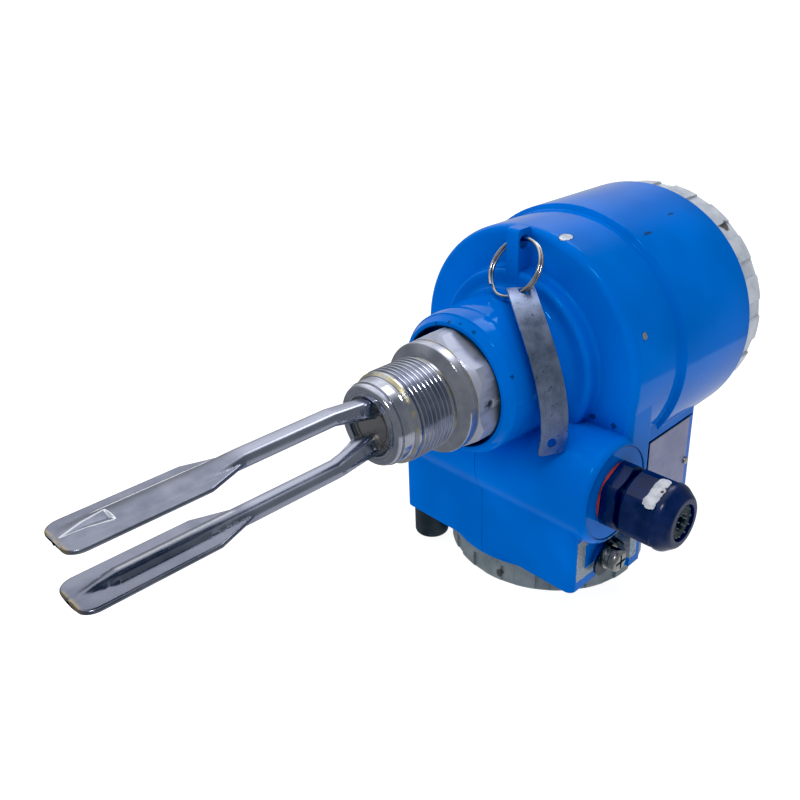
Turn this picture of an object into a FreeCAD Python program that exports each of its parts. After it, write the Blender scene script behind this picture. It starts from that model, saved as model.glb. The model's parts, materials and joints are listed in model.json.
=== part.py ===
"""Vibrating fork level switch: threaded fork sensor, cast two-compartment housing and cable gland.

Frame: millimetres, +Z up. The origin is the middle of the lower cover's outer face, on which the switch
stands. The fork axis runs along X at height AXIS_Z with the fork towards -X, and the gland points to -Y.
"""
import FreeCAD, Part
import math
import os

from FreeCAD import Placement, Rotation, Vector

# Clearances
FIT = 0.3               # between pieces of different moving bodies
SEAT = 0.05             # between pieces that sit in each other and never move
OVERLAP = 1.0           # how far a cutting tool runs past the face it opens
EDGE = 0.5              # broken edges of turned pieces
MOULD_EDGE = 1.5        # rounded edges of moulded and cast pieces

# Lower cover and the compartment above it
LOWER_COVER_R = 41.6    # castellated rim
LOWER_COVER_H = 12.0    # rim height
SKIRT_R = 43.0          # round collar under the box
SKIRT_H = 3.3
BOX_FRONT = 43.2        # from the lower cover's axis to the front wall
BOX_REAR = 40.5         # and to the rear wall
BOX_HALF_W = 44.0
BOX_CORNER = 3.0
BOX_WALL = 4.0
BOX_FLOOR = 7.0         # thickness round the lower mouth
MOUTH_R = 37.0          # lower mouth

# Turned part of the casting, along the fork axis
AXIS_ABOVE_BOX = 78.2   # fork axis above the box's underside
DRUM_R = 51.0
DRUM_AHEAD = 20.6       # drum's front face ahead of the lower cover's axis
DRUM_LEN = 28.8         # front face to the step
DRUM_EDGE = 3.0
DRUM_WALL = 5.0
STEP_LEN = 1.6
REAR_R = 53.1
REAR_LEN = 51.4         # step to the rear rim
PLATEAU_R = 35.6
PLATEAU_H = 6.4
PLATEAU_EDGE = 2.0
PLATEAU_FILLET = 1.5
NECK_R = 26.8           # at its front
NECK_ROOT_R = 28.2
NECK_LEN = 33.0
NECK_LIP_R = 24.4       # front edge beside the recess
NECK_LIP_LEN = 4.2
NECK_EDGE = 4.0
NECK_FILLET = 3.0
NECK_MOUTH_R = 23.6     # recess for the hexagon
NECK_MOUTH_DEPTH = 4.0

# Cable entry boss and its flank pad
BOSS_AHEAD = 27.0       # boss axis ahead of the lower cover's axis
BOSS_ABOVE_BOX = 40.0   # boss axis above the box's underside
BOSS_R = 20.8
BOSS_END = 3.0          # rounding of its ends
BOSS_WALL = 3.8
PAD_HALF_W = 50.0       # boss ends and flank pad
PAD_LEN = 13.6          # flank pad behind the drum's front face
POCKET_LEN = 6.6        # front of the pad cut back for the ground terminal
POCKET_GAP = 0.4        # pocket's roof below the boss
SPOT_R = 18.1
SPOT_DEPTH = 0.3
ENTRY_R = 10.0          # cable entry thread

# Lug for the tag ring
LUG_W = 5.6
LUG_AHEAD = 6.5         # ahead of the drum's front face
LUG_LOW = 33.0          # above the fork axis
LUG_TOP = 51.4
LUG_EDGE = 1.6
LUG_HOLE_R = 2.7
LUG_HOLE_INSET = 3.3    # from the lug's front
LUG_HOLE_DROP = 5.1     # from the lug's top

# Process connection
HEX_AF = 41.0
HEX_CORNER_R = 22.3
HEX_LEN = 12.5
HEX_CHAMFER = 1.6
HEX_TURN = 33.0         # angle of a corner from -Y towards +Z
HEX_HOLE_R = 1.5        # cross hole in one flat
HEX_HOLE_DEPTH = 6.0
RELIEF_R = 19.6
RELIEF_LEN = 0.8
COLLAR_R = 20.5
COLLAR_LEN = 6.6
COLLAR_EDGE = 3.0
THREAD_R = 16.6
THREAD_LEN = 15.3
THREAD_PITCH = 2.309
THREAD_DEPTH = 1.3
THREAD_FLAT = 0.4       # width of crests and roots
THREAD_LEAD = 0.35      # first crest behind the land
LAND_R = 16.2
LAND_LEN = 2.4
LAND_CHAMFER = 1.4
NOSE_R = 14.6
NOSE_LEN = 6.8
NOSE_EDGE = 2.6
NOSE_RECESS = 1.5       # diaphragm behind the nose's rim
SHANK_R = 15.0          # behind the hexagon, through the neck
SHANK_PAST = 9.0        # how far it stands into the drum
BARREL_R = 11.4         # bore that holds the drive

# Fork
DIAPHRAGM_T = 1.6
RIPPLE_R = 9.6
RIPPLE_W = 1.0
RIPPLE_DEPTH = 0.5
FORK_LEN = 105.5        # diaphragm to tip
FORK_TURN = -3.0        # about the fork axis
TINE_OFFSET = 9.0       # paddle's middle plane from the axis
BAR_W = 7.3
BAR_T = 5.4
BAR_EDGE = 0.9          # along its outer face
BAR_ROUND = 2.3         # along its inner face
KINK_LEN = 16.4         # diaphragm to the bend
FOOT_W = 17.0
FOOT_IN = 2.4           # foot's inner edge from the axis
FOOT_R = 10.0           # its round back on the diaphragm
PADDLE_LEN = 40.6       # tip to shoulder
SHOULDER_LEN = 14.8
PADDLE_W = 19.0
PADDLE_T = 1.5
PADDLE_TIP_R = 5.0
PADDLE_CREASE = 0.4     # ridge along the outer face
RIB_TIP = 2.0           # rib's point to the paddle's tip
RIB_POINT_LEN = 11.6
ARROW_TIP = 1.6         # pressed arrow's point to the paddle's tip
ARROW_LEN = 13.4
ARROW_W = 6.6
ARROW_DEPTH = 0.8
SHOULDER_R = 1.5        # rounding where the shoulders start

# Drive unit inside the nipple
STUD_R = 3.5
STUD_LEN = 22.0
DISC_R = 9.5
DISC_T = 2.0
DISC_COUNT = 4
DISC_GAP = 0.3
DRIVE_RING_T = 3.0
DRIVE_NUT_AF = 11.0
DRIVE_NUT_T = 5.0
LOCK_NUT_R = 21.0
LOCK_NUT_T = 6.0
LOCK_NUT_SLOTS = 4
LOCK_NUT_SLOT_W = 5.0
LOCK_NUT_ROOM = 2.0     # round it, inside the electronics insert
O_RING_R = 1.3
NECK_O_RING_MEAN = 17.4

# Covers
REAR_COVER_R = 51.0
REAR_COVER_LEN = 15.0
COVER_BAND = 3.5        # plain band before the castellations
COVER_CHAMFER = 2.2
COVER_PLATE = 4.0
COVER_WALL = 4.0
COVER_SKIRT = 9.0       # threaded skirt inside the housing
NOTCH_COUNT = 18
NOTCH_SHARE = 0.43      # of the pitch
NOTCH_DEPTH = 1.3
NOTCH_TURN = 4.4        # of the first notch

# Inner fittings
INSERT_R = 44.0
INSERT_LEN = 40.0
INSERT_FOOT = 4.0       # boss under the insert on the drum's front wall
INSERT_SCREW_R = 2.0
INSERT_SCREW_HEAD_R = 3.5
INSERT_SCREW_HEAD_T = 2.6
INSERT_SCREW_RING = 37.0
INSERT_SCREW_COUNT = 3
FEED_R = 5.0
FEED_HEAD_R = 7.0
FEED_HEAD_T = 2.5
BLOCK_LEN = 34.0
BLOCK_W = 18.0
BLOCK_H = 14.0
BLOCK_POLES = 4
BLOCK_SCREW_R = 2.4

# Vent cap under the far front corner
VENT_R = 7.4
VENT_LEN = 13.6
VENT_EDGE = 1.2
VENT_STEM_R = 4.0
VENT_STEM_LEN = 3.0

# Cable gland, stations measured outwards from the spot face
GLAND_SEAL_R = 12.2
GLAND_SEAL_T = 1.0
GLAND_AF = 24.0
GLAND_BODY_LEN = 5.9
GLAND_TURN = 36.0       # of both hexagons
GLAND_NECK_R = 9.4
GLAND_NECK_LEN = 9.0
GLAND_STUD_LEN = 9.0
GLAND_BORE_R = 7.4
GLAND_GAP = 2.0         # between body and nut
GLAND_CHAMFER = 1.2
NUT_LEN = 12.2          # hexagon part
NUT_DOME = 5.8
NUT_MOUTH_R = 6.9
NUT_LIP = 2.4           # wall at the mouth
NUT_LIP_EDGE = 2.0
NUT_DOME_R = 12.5       # dome where it leaves the hexagon
NUT_SHOULDER = 1.6      # straight part of the dome, before it rounds over
NUT_ROUND = 3.8
INSERT_BORE_R = 3.2
INSERT_BLIND = 3.0      # depth of its blind bore
CORNER_SHARE = 1.09     # turned corner radius over half the width across flats

# Outer ground terminal
GROUND_BEHIND = 18.2    # screw axis behind the box's front wall
GROUND_ABOVE = 9.9      # and above its underside
GROUND_SEAT_R = 4.4
GROUND_SEAT_H = 2.2
CLAMP_T = 1.0
CLAMP_W = 10.5
CLAMP_EAR = 4.2         # height of its bent ear
CLAMP_REACH = 6.6       # from the screw to the ear
CLAMP_TONGUE = 8.4      # from the screw to the round end
CLAMP_TONGUE_R = 5.0
CLAMP_TURN = 36.0       # about the screw
CLAMP_BEND = 1.6
CLAMP_EAR_R = 4.0       # rounding of the ear's tip
WASHER_R = 4.9
WASHER_T = 1.0
SPRING_R = 4.2
SPRING_T = 1.4
SPRING_GAP = 0.8
SCREW_R = 2.5
SCREW_HEAD_R = 4.4
SCREW_HEAD_T = 3.0
SCREW_DEPTH = 6.0
SLOT_W = 1.0
SLOT_DEPTH = 1.4
SLOT_REACH = 3.1        # half the length of each arm of the cross
SCREW_CROWN = 1.6

# Nameplate
PLATE_W = 33.0
PLATE_H = 42.0
PLATE_T = 0.8
PLATE_BEHIND = 4.5      # front edge behind the lower cover's axis
PLATE_ABOVE = 3.0       # lower edge above the box's underside
PLATE_RECESS = 0.6
PLATE_MARGIN = 0.6
PLATE_CORNER = 1.0
RIVET_R = 1.6
RIVET_HEAD_T = 0.8
RIVET_LEN = 3.0
RIVET_INSET = 2.6

# Tag ring and tag
RING_WIRE_R = 0.62
RING_PITCH = 1.28       # between its two turns
RING_END = -2.0         # where the wire starts to cross over, from the ring's lowest point
RING_CROSSING = 40.0    # angle in which it changes from one turn to the other
CROSSING_STEPS = 8
RING_MEAN_R = 11.3
RING_TILT = 34.0        # ring leaning forward on the neck
RING_YAW = -8.9         # turned about the upright
RING_RISE = 0.45        # wire above the middle of the lug's hole
RING_SWING = 26.2       # ring slid sideways through the lug's hole, towards -Y
TAG_W = 10.6
TAG_T = 0.8
TAG_ANGLE = 46.0        # where the tag hangs on the ring, from its lowest point
TAG_EYE_R = 1.75        # clear radius round the ring's wire
TAG_EYE_OFFSET = 0.4    # eye beside the tag's middle
TAG_EYE_INSET = 2.4     # eye below the tag's top
TAG_OFF_NECK = 4.8
TAG_DROP = 21.4         # tag's lower end below the fork axis
TAG_LEAN = 25.0         # of its width, from X towards -Y
TAG_SHOULDER = 38.0     # angle on the neck where the tag bends over it
TAG_FORWARD = 9.0       # flank of the tag ahead of the eye
TAG_HOLE_R = 1.8
TAG_HOLE_INSET = 5.0
TAG_CORNER_R = 1.6      # lower corners

# Derived stations
BOX_Z = LOWER_COVER_H + FIT + SKIRT_H
AXIS_Z = BOX_Z + AXIS_ABOVE_BOX
BOSS_Z = BOX_Z + BOSS_ABOVE_BOX
DRUM_X = -DRUM_AHEAD
STEP_X = DRUM_X + DRUM_LEN
REAR_X = STEP_X + REAR_LEN
PLATEAU_X = DRUM_X - PLATEAU_H
NECK_X = PLATEAU_X - NECK_LEN
HEX_X = NECK_X + NECK_MOUTH_DEPTH
COLLAR_X = HEX_X - HEX_LEN - RELIEF_LEN
THREAD_X = COLLAR_X - COLLAR_LEN
LAND_X = THREAD_X - THREAD_LEN
NOSE_X = LAND_X - LAND_LEN
RIM_X = NOSE_X - NOSE_LEN
DIAPHRAGM_X = RIM_X + NOSE_RECESS
TIP_X = DIAPHRAGM_X - FORK_LEN
CAVITY_R = DRUM_R - DRUM_WALL
CAVITY_X = DRUM_X + DRUM_WALL
SPOT_Y = PAD_HALF_W - SPOT_DEPTH
SHANK_END_X = CAVITY_X + SHANK_PAST


def corner_loop(corners):
    """Closed wire through (u, v, radius) corners in the XY plane, each rounded by its radius."""
    corners = [c for i, c in enumerate(corners) if c[:2] != corners[i - 1][:2]]
    starts, ends, arcs = [], [], []
    for i, (u, v, radius) in enumerate(corners):
        here = Vector(u, v, 0)
        before = Vector(*corners[i - 1][:2], 0)
        after = Vector(*corners[(i + 1) % len(corners)][:2], 0)
        back, ahead = (before - here).normalize(), (after - here).normalize()
        half = back.getAngle(ahead) / 2
        if radius <= 0 or half > math.radians(89.5):
            starts.append(here)
            ends.append(here)
            arcs.append(None)
            continue
        run = radius / math.tan(half)
        middle = (back + ahead).normalize() * (radius / math.sin(half) - radius)
        starts.append(here + back * run)
        ends.append(here + ahead * run)
        arcs.append(Part.Arc(starts[-1], here + middle, ends[-1]).toShape())
    edges = []
    for i, arc in enumerate(arcs):
        if arc:
            edges.append(arc)
        a, b = ends[i], starts[(i + 1) % len(arcs)]
        if a.distanceToPoint(b) > 1e-6:
            edges.append(Part.LineSegment(a, b).toShape())
    return Part.Wire(edges)


def turned(corners):
    """Solid of revolution about X from (x, radius, rounding) corners of its half section."""
    face = Part.Face(corner_loop(corners))
    return face.revolve(Vector(0, 0, 0), Vector(1, 0, 0), 360)


def rod(x0, x1, radius, bore=0.0):
    """Round bar or tube along X."""
    return turned([(x0, bore, 0), (x1, bore, 0), (x1, radius, 0), (x0, radius, 0)])


def hexagon(x0, x1, width, corner_r, turn, chamfer=(0.0, 0.0)):
    """Hexagonal bar along X, its corners turned to corner_r, with chamfered ends."""
    reach = width / math.sqrt(3)
    points = [Vector(x0, -reach * math.cos(math.radians(turn + 60 * i)),
                     reach * math.sin(math.radians(turn + 60 * i))) for i in range(6)]
    bar = Part.Face(Part.makePolygon(points + points[:1])).extrude(Vector(x1 - x0, 0, 0))
    near, far = chamfer
    blank = turned([(x0, 0, 0), (x1, 0, 0), (x1, corner_r - far, 0), (x1 - far / 2, corner_r, 0),
                    (x0 + near / 2, corner_r, 0), (x0, corner_r - near, 0)])
    return bar.common(blank)


def block(x0, x1, y0, y1, z0, z1):
    """Plain box between two corners."""
    return Part.makeBox(x1 - x0, y1 - y0, z1 - z0, Vector(x0, y0, z0))


def prism(corners, z0, z1):
    """Plan outline of rounded corners, pulled up from z0 to z1."""
    return Part.Face(corner_loop(corners)).extrude(Vector(0, 0, z1 - z0)).translated(Vector(0, 0, z0))


def placed(shape, origin, turn=None):
    """Copy of a shape, turned and then moved."""
    copy = shape.copy()
    copy.Placement = Placement(origin, turn or Rotation()).multiply(copy.Placement)
    return copy


def on_fork_axis(shape):
    """Piece drawn round the X axis, lifted to the fork axis."""
    return placed(shape, Vector(0, 0, AXIS_Z))


def on_gland_axis(shape):
    """Local +X becomes the outward direction -Y of the cable entry."""
    return placed(shape, Vector(-BOSS_AHEAD, 0, BOSS_Z), Rotation(Vector(0, 0, 1), -90))


def upright(shape, x=0.0, y=0.0):
    """Local +X becomes +Z."""
    return placed(shape, Vector(x, y, 0), Rotation(Vector(0, 1, 0), -90))


def around(shape, count, centre=Vector(0, 0, 0), axis=Vector(1, 0, 0)):
    """Polar pattern of copies about an axis."""
    copies = []
    for i in range(count):
        copy = shape.copy()
        copy.rotate(centre, axis, 360.0 * i / count)
        copies.append(copy)
    return Part.makeCompound(copies)


def casting_skin():
    """Outer form: turned neck and drum, square lower box, entry boss, flank pad, skirt and lug."""
    turned_part = on_fork_axis(turned([
        (NECK_X, 0, 0), (NECK_X, NECK_LIP_R, EDGE), (NECK_X + NECK_LIP_LEN, NECK_R, NECK_EDGE),
        (PLATEAU_X, NECK_ROOT_R, NECK_FILLET),
        (PLATEAU_X, PLATEAU_R, PLATEAU_EDGE), (DRUM_X, PLATEAU_R, PLATEAU_FILLET),
        (DRUM_X, DRUM_R, DRUM_EDGE), (STEP_X, DRUM_R, EDGE), (STEP_X + STEP_LEN, REAR_R, EDGE),
        (REAR_X, REAR_R, EDGE), (REAR_X, 0, 0)]))
    low_box = prism([(-BOX_FRONT, -BOX_HALF_W, BOX_CORNER), (BOX_REAR, -BOX_HALF_W, BOX_CORNER),
                     (BOX_REAR, BOX_HALF_W, BOX_CORNER), (-BOX_FRONT, BOX_HALF_W, BOX_CORNER)], BOX_Z, BOSS_Z)
    high_box = prism([(DRUM_X, -BOX_HALF_W, 0), (BOX_REAR, -BOX_HALF_W, BOX_CORNER),
                      (BOX_REAR, BOX_HALF_W, BOX_CORNER), (DRUM_X, BOX_HALF_W, 0)], BOX_Z, AXIS_Z)
    pad = prism([(DRUM_X, -PAD_HALF_W, DRUM_EDGE), (DRUM_X + PAD_LEN, -PAD_HALF_W, 0),
                 (DRUM_X + PAD_LEN, PAD_HALF_W, 0), (DRUM_X, PAD_HALF_W, DRUM_EDGE)], BOX_Z, AXIS_Z)
    boss = on_gland_axis(turned([(-PAD_HALF_W, 0, 0), (PAD_HALF_W, 0, 0), (PAD_HALF_W, BOSS_R, BOSS_END),
                                 (-PAD_HALF_W, BOSS_R, BOSS_END)]))
    skirt = upright(rod(BOX_Z - SKIRT_H, BOX_Z + OVERLAP, SKIRT_R))
    return turned_part.multiFuse([low_box, high_box, pad, boss, skirt, lug()]).removeSplitter()


def lug():
    """Rib on the drum's front face that carries the tag ring."""
    outline = [(DRUM_X - LUG_AHEAD, LUG_LOW, 0), (DRUM_X + OVERLAP, LUG_LOW, 0),
               (DRUM_X + OVERLAP, LUG_TOP - LUG_EDGE, 0), (DRUM_X, LUG_TOP, 0),
               (DRUM_X - LUG_AHEAD, LUG_TOP, LUG_EDGE)]
    rib = Part.Face(corner_loop(outline)).extrude(Vector(0, 0, LUG_W))
    return placed(rib, Vector(0, LUG_W / 2, AXIS_Z), Rotation(Vector(1, 0, 0), 90))


def lug_hole_place():
    """Middle of the lug's hole."""
    return Vector(DRUM_X - LUG_AHEAD + LUG_HOLE_INSET, 0, AXIS_Z + LUG_TOP - LUG_HOLE_DROP)


def lower_chamber():
    """Hollow of the connection compartment, up into the entry boss but clear of the drum."""
    roof = AXIS_Z - CAVITY_R - BOX_WALL
    low = block(-BOX_FRONT + BOX_WALL, BOX_REAR - BOX_WALL, -BOX_HALF_W + BOX_WALL, BOX_HALF_W - BOX_WALL,
                BOX_Z + BOX_FLOOR - SKIRT_H, roof)
    boss_end = BOX_HALF_W - BOX_WALL
    inside = on_gland_axis(rod(-boss_end, boss_end, BOSS_R - BOSS_WALL))
    front = block(-BOX_FRONT - BOSS_R, DRUM_X + DRUM_WALL - BOX_WALL, -boss_end, boss_end, BOX_Z, AXIS_Z)
    mouth = upright(rod(BOX_Z - SKIRT_H - OVERLAP, BOX_Z + BOX_FLOOR, MOUTH_R))
    return low.multiFuse([inside.common(front), mouth])


def housing():
    """Painted casting with its bores, spot face, ground pocket and nameplate recess."""
    drum_bore = on_fork_axis(rod(CAVITY_X, REAR_X + OVERLAP, CAVITY_R))
    neck_bore = on_fork_axis(rod(NECK_X - OVERLAP, CAVITY_X + OVERLAP, SHANK_R + SEAT))
    neck_mouth = on_fork_axis(rod(NECK_X - OVERLAP, HEX_X, NECK_MOUTH_R))
    spot = on_gland_axis(rod(SPOT_Y, PAD_HALF_W + OVERLAP, SPOT_R))
    entry = on_gland_axis(rod(BOX_HALF_W - BOX_WALL - OVERLAP, PAD_HALF_W + OVERLAP, ENTRY_R))
    pocket = block(-BOX_FRONT - OVERLAP, DRUM_X + POCKET_LEN, -PAD_HALF_W - OVERLAP, -BOX_HALF_W,
                   BOX_Z - OVERLAP, BOSS_Z - BOSS_R - POCKET_GAP)
    hole = placed(rod(-LUG_W, LUG_W, LUG_HOLE_R), lug_hole_place(), Rotation(Vector(0, 0, 1), 90))
    x, y, z = plate_corner()
    recess = block(x - PLATE_MARGIN, x + PLATE_W + PLATE_MARGIN, y, y + PLATE_RECESS,
                   z - PLATE_MARGIN, z + PLATE_H + PLATE_MARGIN)
    skin = casting_skin().cut(pocket).fuse(ground_seat())
    tools = [drum_bore, neck_bore, neck_mouth, spot, entry, hole, recess, lower_chamber(),
             feed_bore(), vent_bore(), ground_bore(), rivets()]
    return skin.cut(tools)


def process_connection():
    """Turned nipple: nose, land, threaded length, round collar, hexagon and shank."""
    turns = int(THREAD_LEN / THREAD_PITCH)
    thread = []
    for i in range(turns):
        x = LAND_X + THREAD_LEAD + THREAD_PITCH * i
        root_x = x + THREAD_PITCH / 2
        thread += [(x, THREAD_R, 0), (x + THREAD_FLAT, THREAD_R, 0),
                   (root_x, THREAD_R - THREAD_DEPTH, 0), (root_x + THREAD_FLAT, THREAD_R - THREAD_DEPTH, 0)]
    body = turned([
        (RIM_X, BARREL_R, 0), (RIM_X, NOSE_R, NOSE_EDGE), (NOSE_X, NOSE_R, 0),
        (NOSE_X + LAND_CHAMFER, LAND_R, 0), (LAND_X, LAND_R, 0)] + thread + [
        (THREAD_X, THREAD_R - THREAD_DEPTH, EDGE),
        (THREAD_X, COLLAR_R, COLLAR_EDGE), (COLLAR_X, COLLAR_R, EDGE), (COLLAR_X, RELIEF_R, 0),
        (HEX_X - HEX_LEN / 2, RELIEF_R, 0), (HEX_X - HEX_LEN / 2, SHANK_R, 0), (SHANK_END_X, SHANK_R, EDGE),
        (SHANK_END_X, BARREL_R, 0)])
    nut = hexagon(HEX_X - HEX_LEN, HEX_X - SEAT, HEX_AF, HEX_CORNER_R, HEX_TURN, (HEX_CHAMFER, 0.0))
    bore = rod(HEX_X - HEX_LEN - OVERLAP, HEX_X + OVERLAP, SHANK_R - SEAT)
    drill = rod(HEX_AF / 2 - HEX_HOLE_DEPTH, HEX_AF / 2 + OVERLAP, HEX_HOLE_R)
    drill = placed(drill, Vector(HEX_X - HEX_LEN / 2, 0, 0), Rotation(Vector(0, 0, 1), -90))
    drill.rotate(Vector(0, 0, 0), Vector(1, 0, 0), 30 - HEX_TURN)
    reach = O_RING_R + SEAT
    groove = rod(HEX_X - 2 * reach, HEX_X + OVERLAP, NECK_O_RING_MEAN + reach, NECK_O_RING_MEAN - reach)
    return on_fork_axis(body.fuse(nut.cut(bore)).cut([drill, groove]).removeSplitter())


def o_ring_solid(x, mean_r, wire_r):
    """Round ring about X whose middle plane is at x."""
    ring = Part.Face(Part.Wire(Part.makeCircle(wire_r, Vector(x, mean_r, 0), Vector(0, 0, 1))))
    return ring.revolve(Vector(0, 0, 0), Vector(1, 0, 0), 360)


def bar_section(x, width, inner, outer):
    """Rectangular section of a tine at station x, between two distances from the axis."""
    half = width / 2
    corners = [(-half, inner), (half, inner), (half, outer), (-half, outer)]
    points = [Vector(x, y, z) for y, z in corners]
    return Part.makePolygon(points + points[:1])


def paddle():
    """Flat blade with rounded tip, tapered shoulders, and a crease that ends in a pressed arrow outside."""
    root = TIP_X + PADDLE_LEN + SHOULDER_LEN
    half = PADDLE_W / 2
    inner, outer = TINE_OFFSET - PADDLE_T / 2, TINE_OFFSET + PADDLE_T / 2
    outline = [(TIP_X, -half, PADDLE_TIP_R), (TIP_X + PADDLE_LEN, -half, SHOULDER_R), (root, -BAR_W / 2, 0),
               (root, BAR_W / 2, 0), (TIP_X + PADDLE_LEN, half, SHOULDER_R), (TIP_X, half, PADDLE_TIP_R)]
    blade = prism(outline, inner - OVERLAP, outer + OVERLAP)
    section = [Vector(TIP_X, -half, inner), Vector(TIP_X, half, inner), Vector(TIP_X, half, outer),
               Vector(TIP_X, 0, outer + PADDLE_CREASE), Vector(TIP_X, -half, outer)]
    roof = Part.Face(Part.makePolygon(section + section[:1])).extrude(Vector(root - TIP_X, 0, 0))
    return blade.common(roof).cut(arrow(outer + PADDLE_CREASE))


def arrow(top):
    """Tool for the pressed arrow: deep at its tail, running out to a point near the paddle's tip."""
    tail = TIP_X + ARROW_TIP + ARROW_LEN
    corners = [Vector(tail, -ARROW_W / 2, top), Vector(tail, ARROW_W / 2, top),
               Vector(tail, 0, top - PADDLE_CREASE - ARROW_DEPTH)]
    point = Part.Vertex(Vector(TIP_X + ARROW_TIP, 0, top))
    return Part.makeLoft([point, Part.makePolygon(corners + corners[:1])], True)


def rounded_sides(bar):
    """Tine section with its long edges broken outside and well rounded inside."""
    for radius, side in ((BAR_EDGE, 1), (BAR_ROUND, -1)):
        runs = [e for e in bar.Edges if abs(e.Vertexes[0].X - e.Vertexes[-1].X) > BAR_W]
        runs.sort(key=lambda e: side * e.CenterOfMass.z)
        bar = bar.makeFillet(radius, runs[-2:])
    return bar


def foot(end):
    """Tine's root: round-backed on the diaphragm, drawn in to the bar at the bend."""
    inner, outer = TINE_OFFSET - BAR_T / 2, TINE_OFFSET + BAR_T / 2
    start = DIAPHRAGM_X + DIAPHRAGM_T / 2
    sections = [bar_section(start, FOOT_W, FOOT_IN, FOOT_R), bar_section(end, BAR_W, inner, outer)]
    blank = rounded_sides(Part.makeLoft(sections, True, True))
    reach = math.hypot(outer, BAR_W / 2)
    cone = turned([(end, 0, 0), (start, 0, 0), (start, FOOT_R, 0), (DIAPHRAGM_X, FOOT_R, 0), (end, reach, 0)])
    return blank.common(cone)


def tine():
    """One tine: foot, kinked bar, and a paddle whose inner rib is the bar, sharpened to a point."""
    kink = DIAPHRAGM_X - KINK_LEN
    inner, outer = TINE_OFFSET - BAR_T / 2, TINE_OFFSET + BAR_T / 2
    rib_end = TIP_X + RIB_TIP + RIB_POINT_LEN
    run_out = TIP_X + PADDLE_LEN
    flat = TINE_OFFSET + PADDLE_T / 2
    root = run_out + SHOULDER_LEN
    above = outer + BAR_T
    slope = [(TIP_X, flat), (run_out, flat), (root, outer), (root, above), (TIP_X, above), (TIP_X, flat)]
    wedge = Part.makePolygon([Vector(x, -BAR_W, z) for x, z in slope])
    back = Part.Face(wedge).extrude(Vector(0, 2 * BAR_W, 0))
    start = TIP_X + RIB_TIP
    bar = Part.Face(bar_section(start, BAR_W, inner, outer)).extrude(Vector(kink - start, 0, 0))
    bar = rounded_sides(bar).cut(back)
    pencil = Part.makeLoft([bar_section(rib_end, BAR_W, inner, flat),
                            bar_section(start, BAR_EDGE, TINE_OFFSET - PADDLE_T / 2, flat)], True)
    shaft = bar.common(block(rib_end, kink, -BAR_W, BAR_W, inner - OVERLAP, outer + OVERLAP))
    return shaft.multiFuse([bar.common(pencil), foot(kink), paddle()]).removeSplitter()


def vibrating_fork():
    """Rippled diaphragm, its two tines and the stud that takes the drive stack."""
    back = DIAPHRAGM_X + DIAPHRAGM_T
    ripples = [rod(DIAPHRAGM_X - OVERLAP, DIAPHRAGM_X + RIPPLE_DEPTH, r + RIPPLE_W / 2, r - RIPPLE_W / 2)
               for r in (RIPPLE_R, RIPPLE_R - 2 * RIPPLE_W)]
    disc = rod(DIAPHRAGM_X, back, BARREL_R - SEAT).cut(ripples)
    stud = turned([(back - DIAPHRAGM_T / 2, 0, 0), (back + STUD_LEN, 0, 0), (back + STUD_LEN, STUD_R, EDGE),
                   (back - DIAPHRAGM_T / 2, STUD_R, 0)])
    one = tine()
    other = one.copy()
    other.rotate(Vector(0, 0, 0), Vector(1, 0, 0), 180)
    fork = disc.multiFuse([stud, one, other]).removeSplitter()
    fork.rotate(Vector(0, 0, 0), Vector(1, 0, 0), FORK_TURN)
    return on_fork_axis(fork)


def drive_stack():
    """Insulating ring, ceramic discs and nut on the fork's stud."""
    x = DIAPHRAGM_X + DIAPHRAGM_T + SEAT
    ring = rod(x, x + DRIVE_RING_T, DISC_R, STUD_R + SEAT)
    x += DRIVE_RING_T + SEAT
    discs = []
    for i in range(DISC_COUNT):
        start = x + i * (DISC_T + DISC_GAP)
        discs.append(rod(start, start + DISC_T, DISC_R, STUD_R + SEAT))
    x += DISC_COUNT * (DISC_T + DISC_GAP) - DISC_GAP + SEAT
    nut = hexagon(x, x + DRIVE_NUT_T, DRIVE_NUT_AF, DRIVE_NUT_AF / 2 * CORNER_SHARE, 0.0)
    nut = nut.cut(rod(x - OVERLAP, x + DRIVE_NUT_T + OVERLAP, STUD_R + SEAT))
    return on_fork_axis(ring), on_fork_axis(Part.makeCompound(discs)), on_fork_axis(nut)


def lock_nut():
    """Slotted round nut that pulls the nipple into the housing."""
    start = CAVITY_X + SEAT
    nut = rod(start, start + LOCK_NUT_T, LOCK_NUT_R, SHANK_R + SEAT)
    slot = block(start - OVERLAP, start + LOCK_NUT_T + OVERLAP, -LOCK_NUT_SLOT_W / 2, LOCK_NUT_SLOT_W / 2,
                 LOCK_NUT_R - LOCK_NUT_SLOT_W / 2, LOCK_NUT_R + OVERLAP)
    return on_fork_axis(nut.cut(around(slot, LOCK_NUT_SLOTS)))


def screw_cover(radius, height, skirt_r):
    """Castellated cover along X: outer face at x = height, threaded skirt reaching to -COVER_SKIRT."""
    cup = turned([
        (-COVER_SKIRT, skirt_r - COVER_WALL, 0), (-COVER_SKIRT, skirt_r, EDGE), (0, skirt_r, 0),
        (0, radius, EDGE),
        (height, radius, COVER_CHAMFER), (height, 0, 0), (height - COVER_PLATE, 0, 0),
        (height - COVER_PLATE, skirt_r - COVER_WALL, MOULD_EDGE)])
    width = 2 * math.pi * radius / NOTCH_COUNT * NOTCH_SHARE
    notch = block(COVER_BAND, height + OVERLAP, -width / 2, width / 2, radius - NOTCH_DEPTH, radius + OVERLAP)
    notch.rotate(Vector(0, 0, 0), Vector(1, 0, 0), NOTCH_TURN)
    reach = O_RING_R + SEAT
    groove = rod(-2 * reach, 0, skirt_r + OVERLAP, skirt_r - 2 * O_RING_R)
    return cup.cut([around(notch, NOTCH_COUNT), groove])


def cover_seal(skirt_r):
    """Ring in the groove of a cover's skirt."""
    return o_ring_solid(-O_RING_R - SEAT, skirt_r - O_RING_R + SEAT, O_RING_R)


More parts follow.
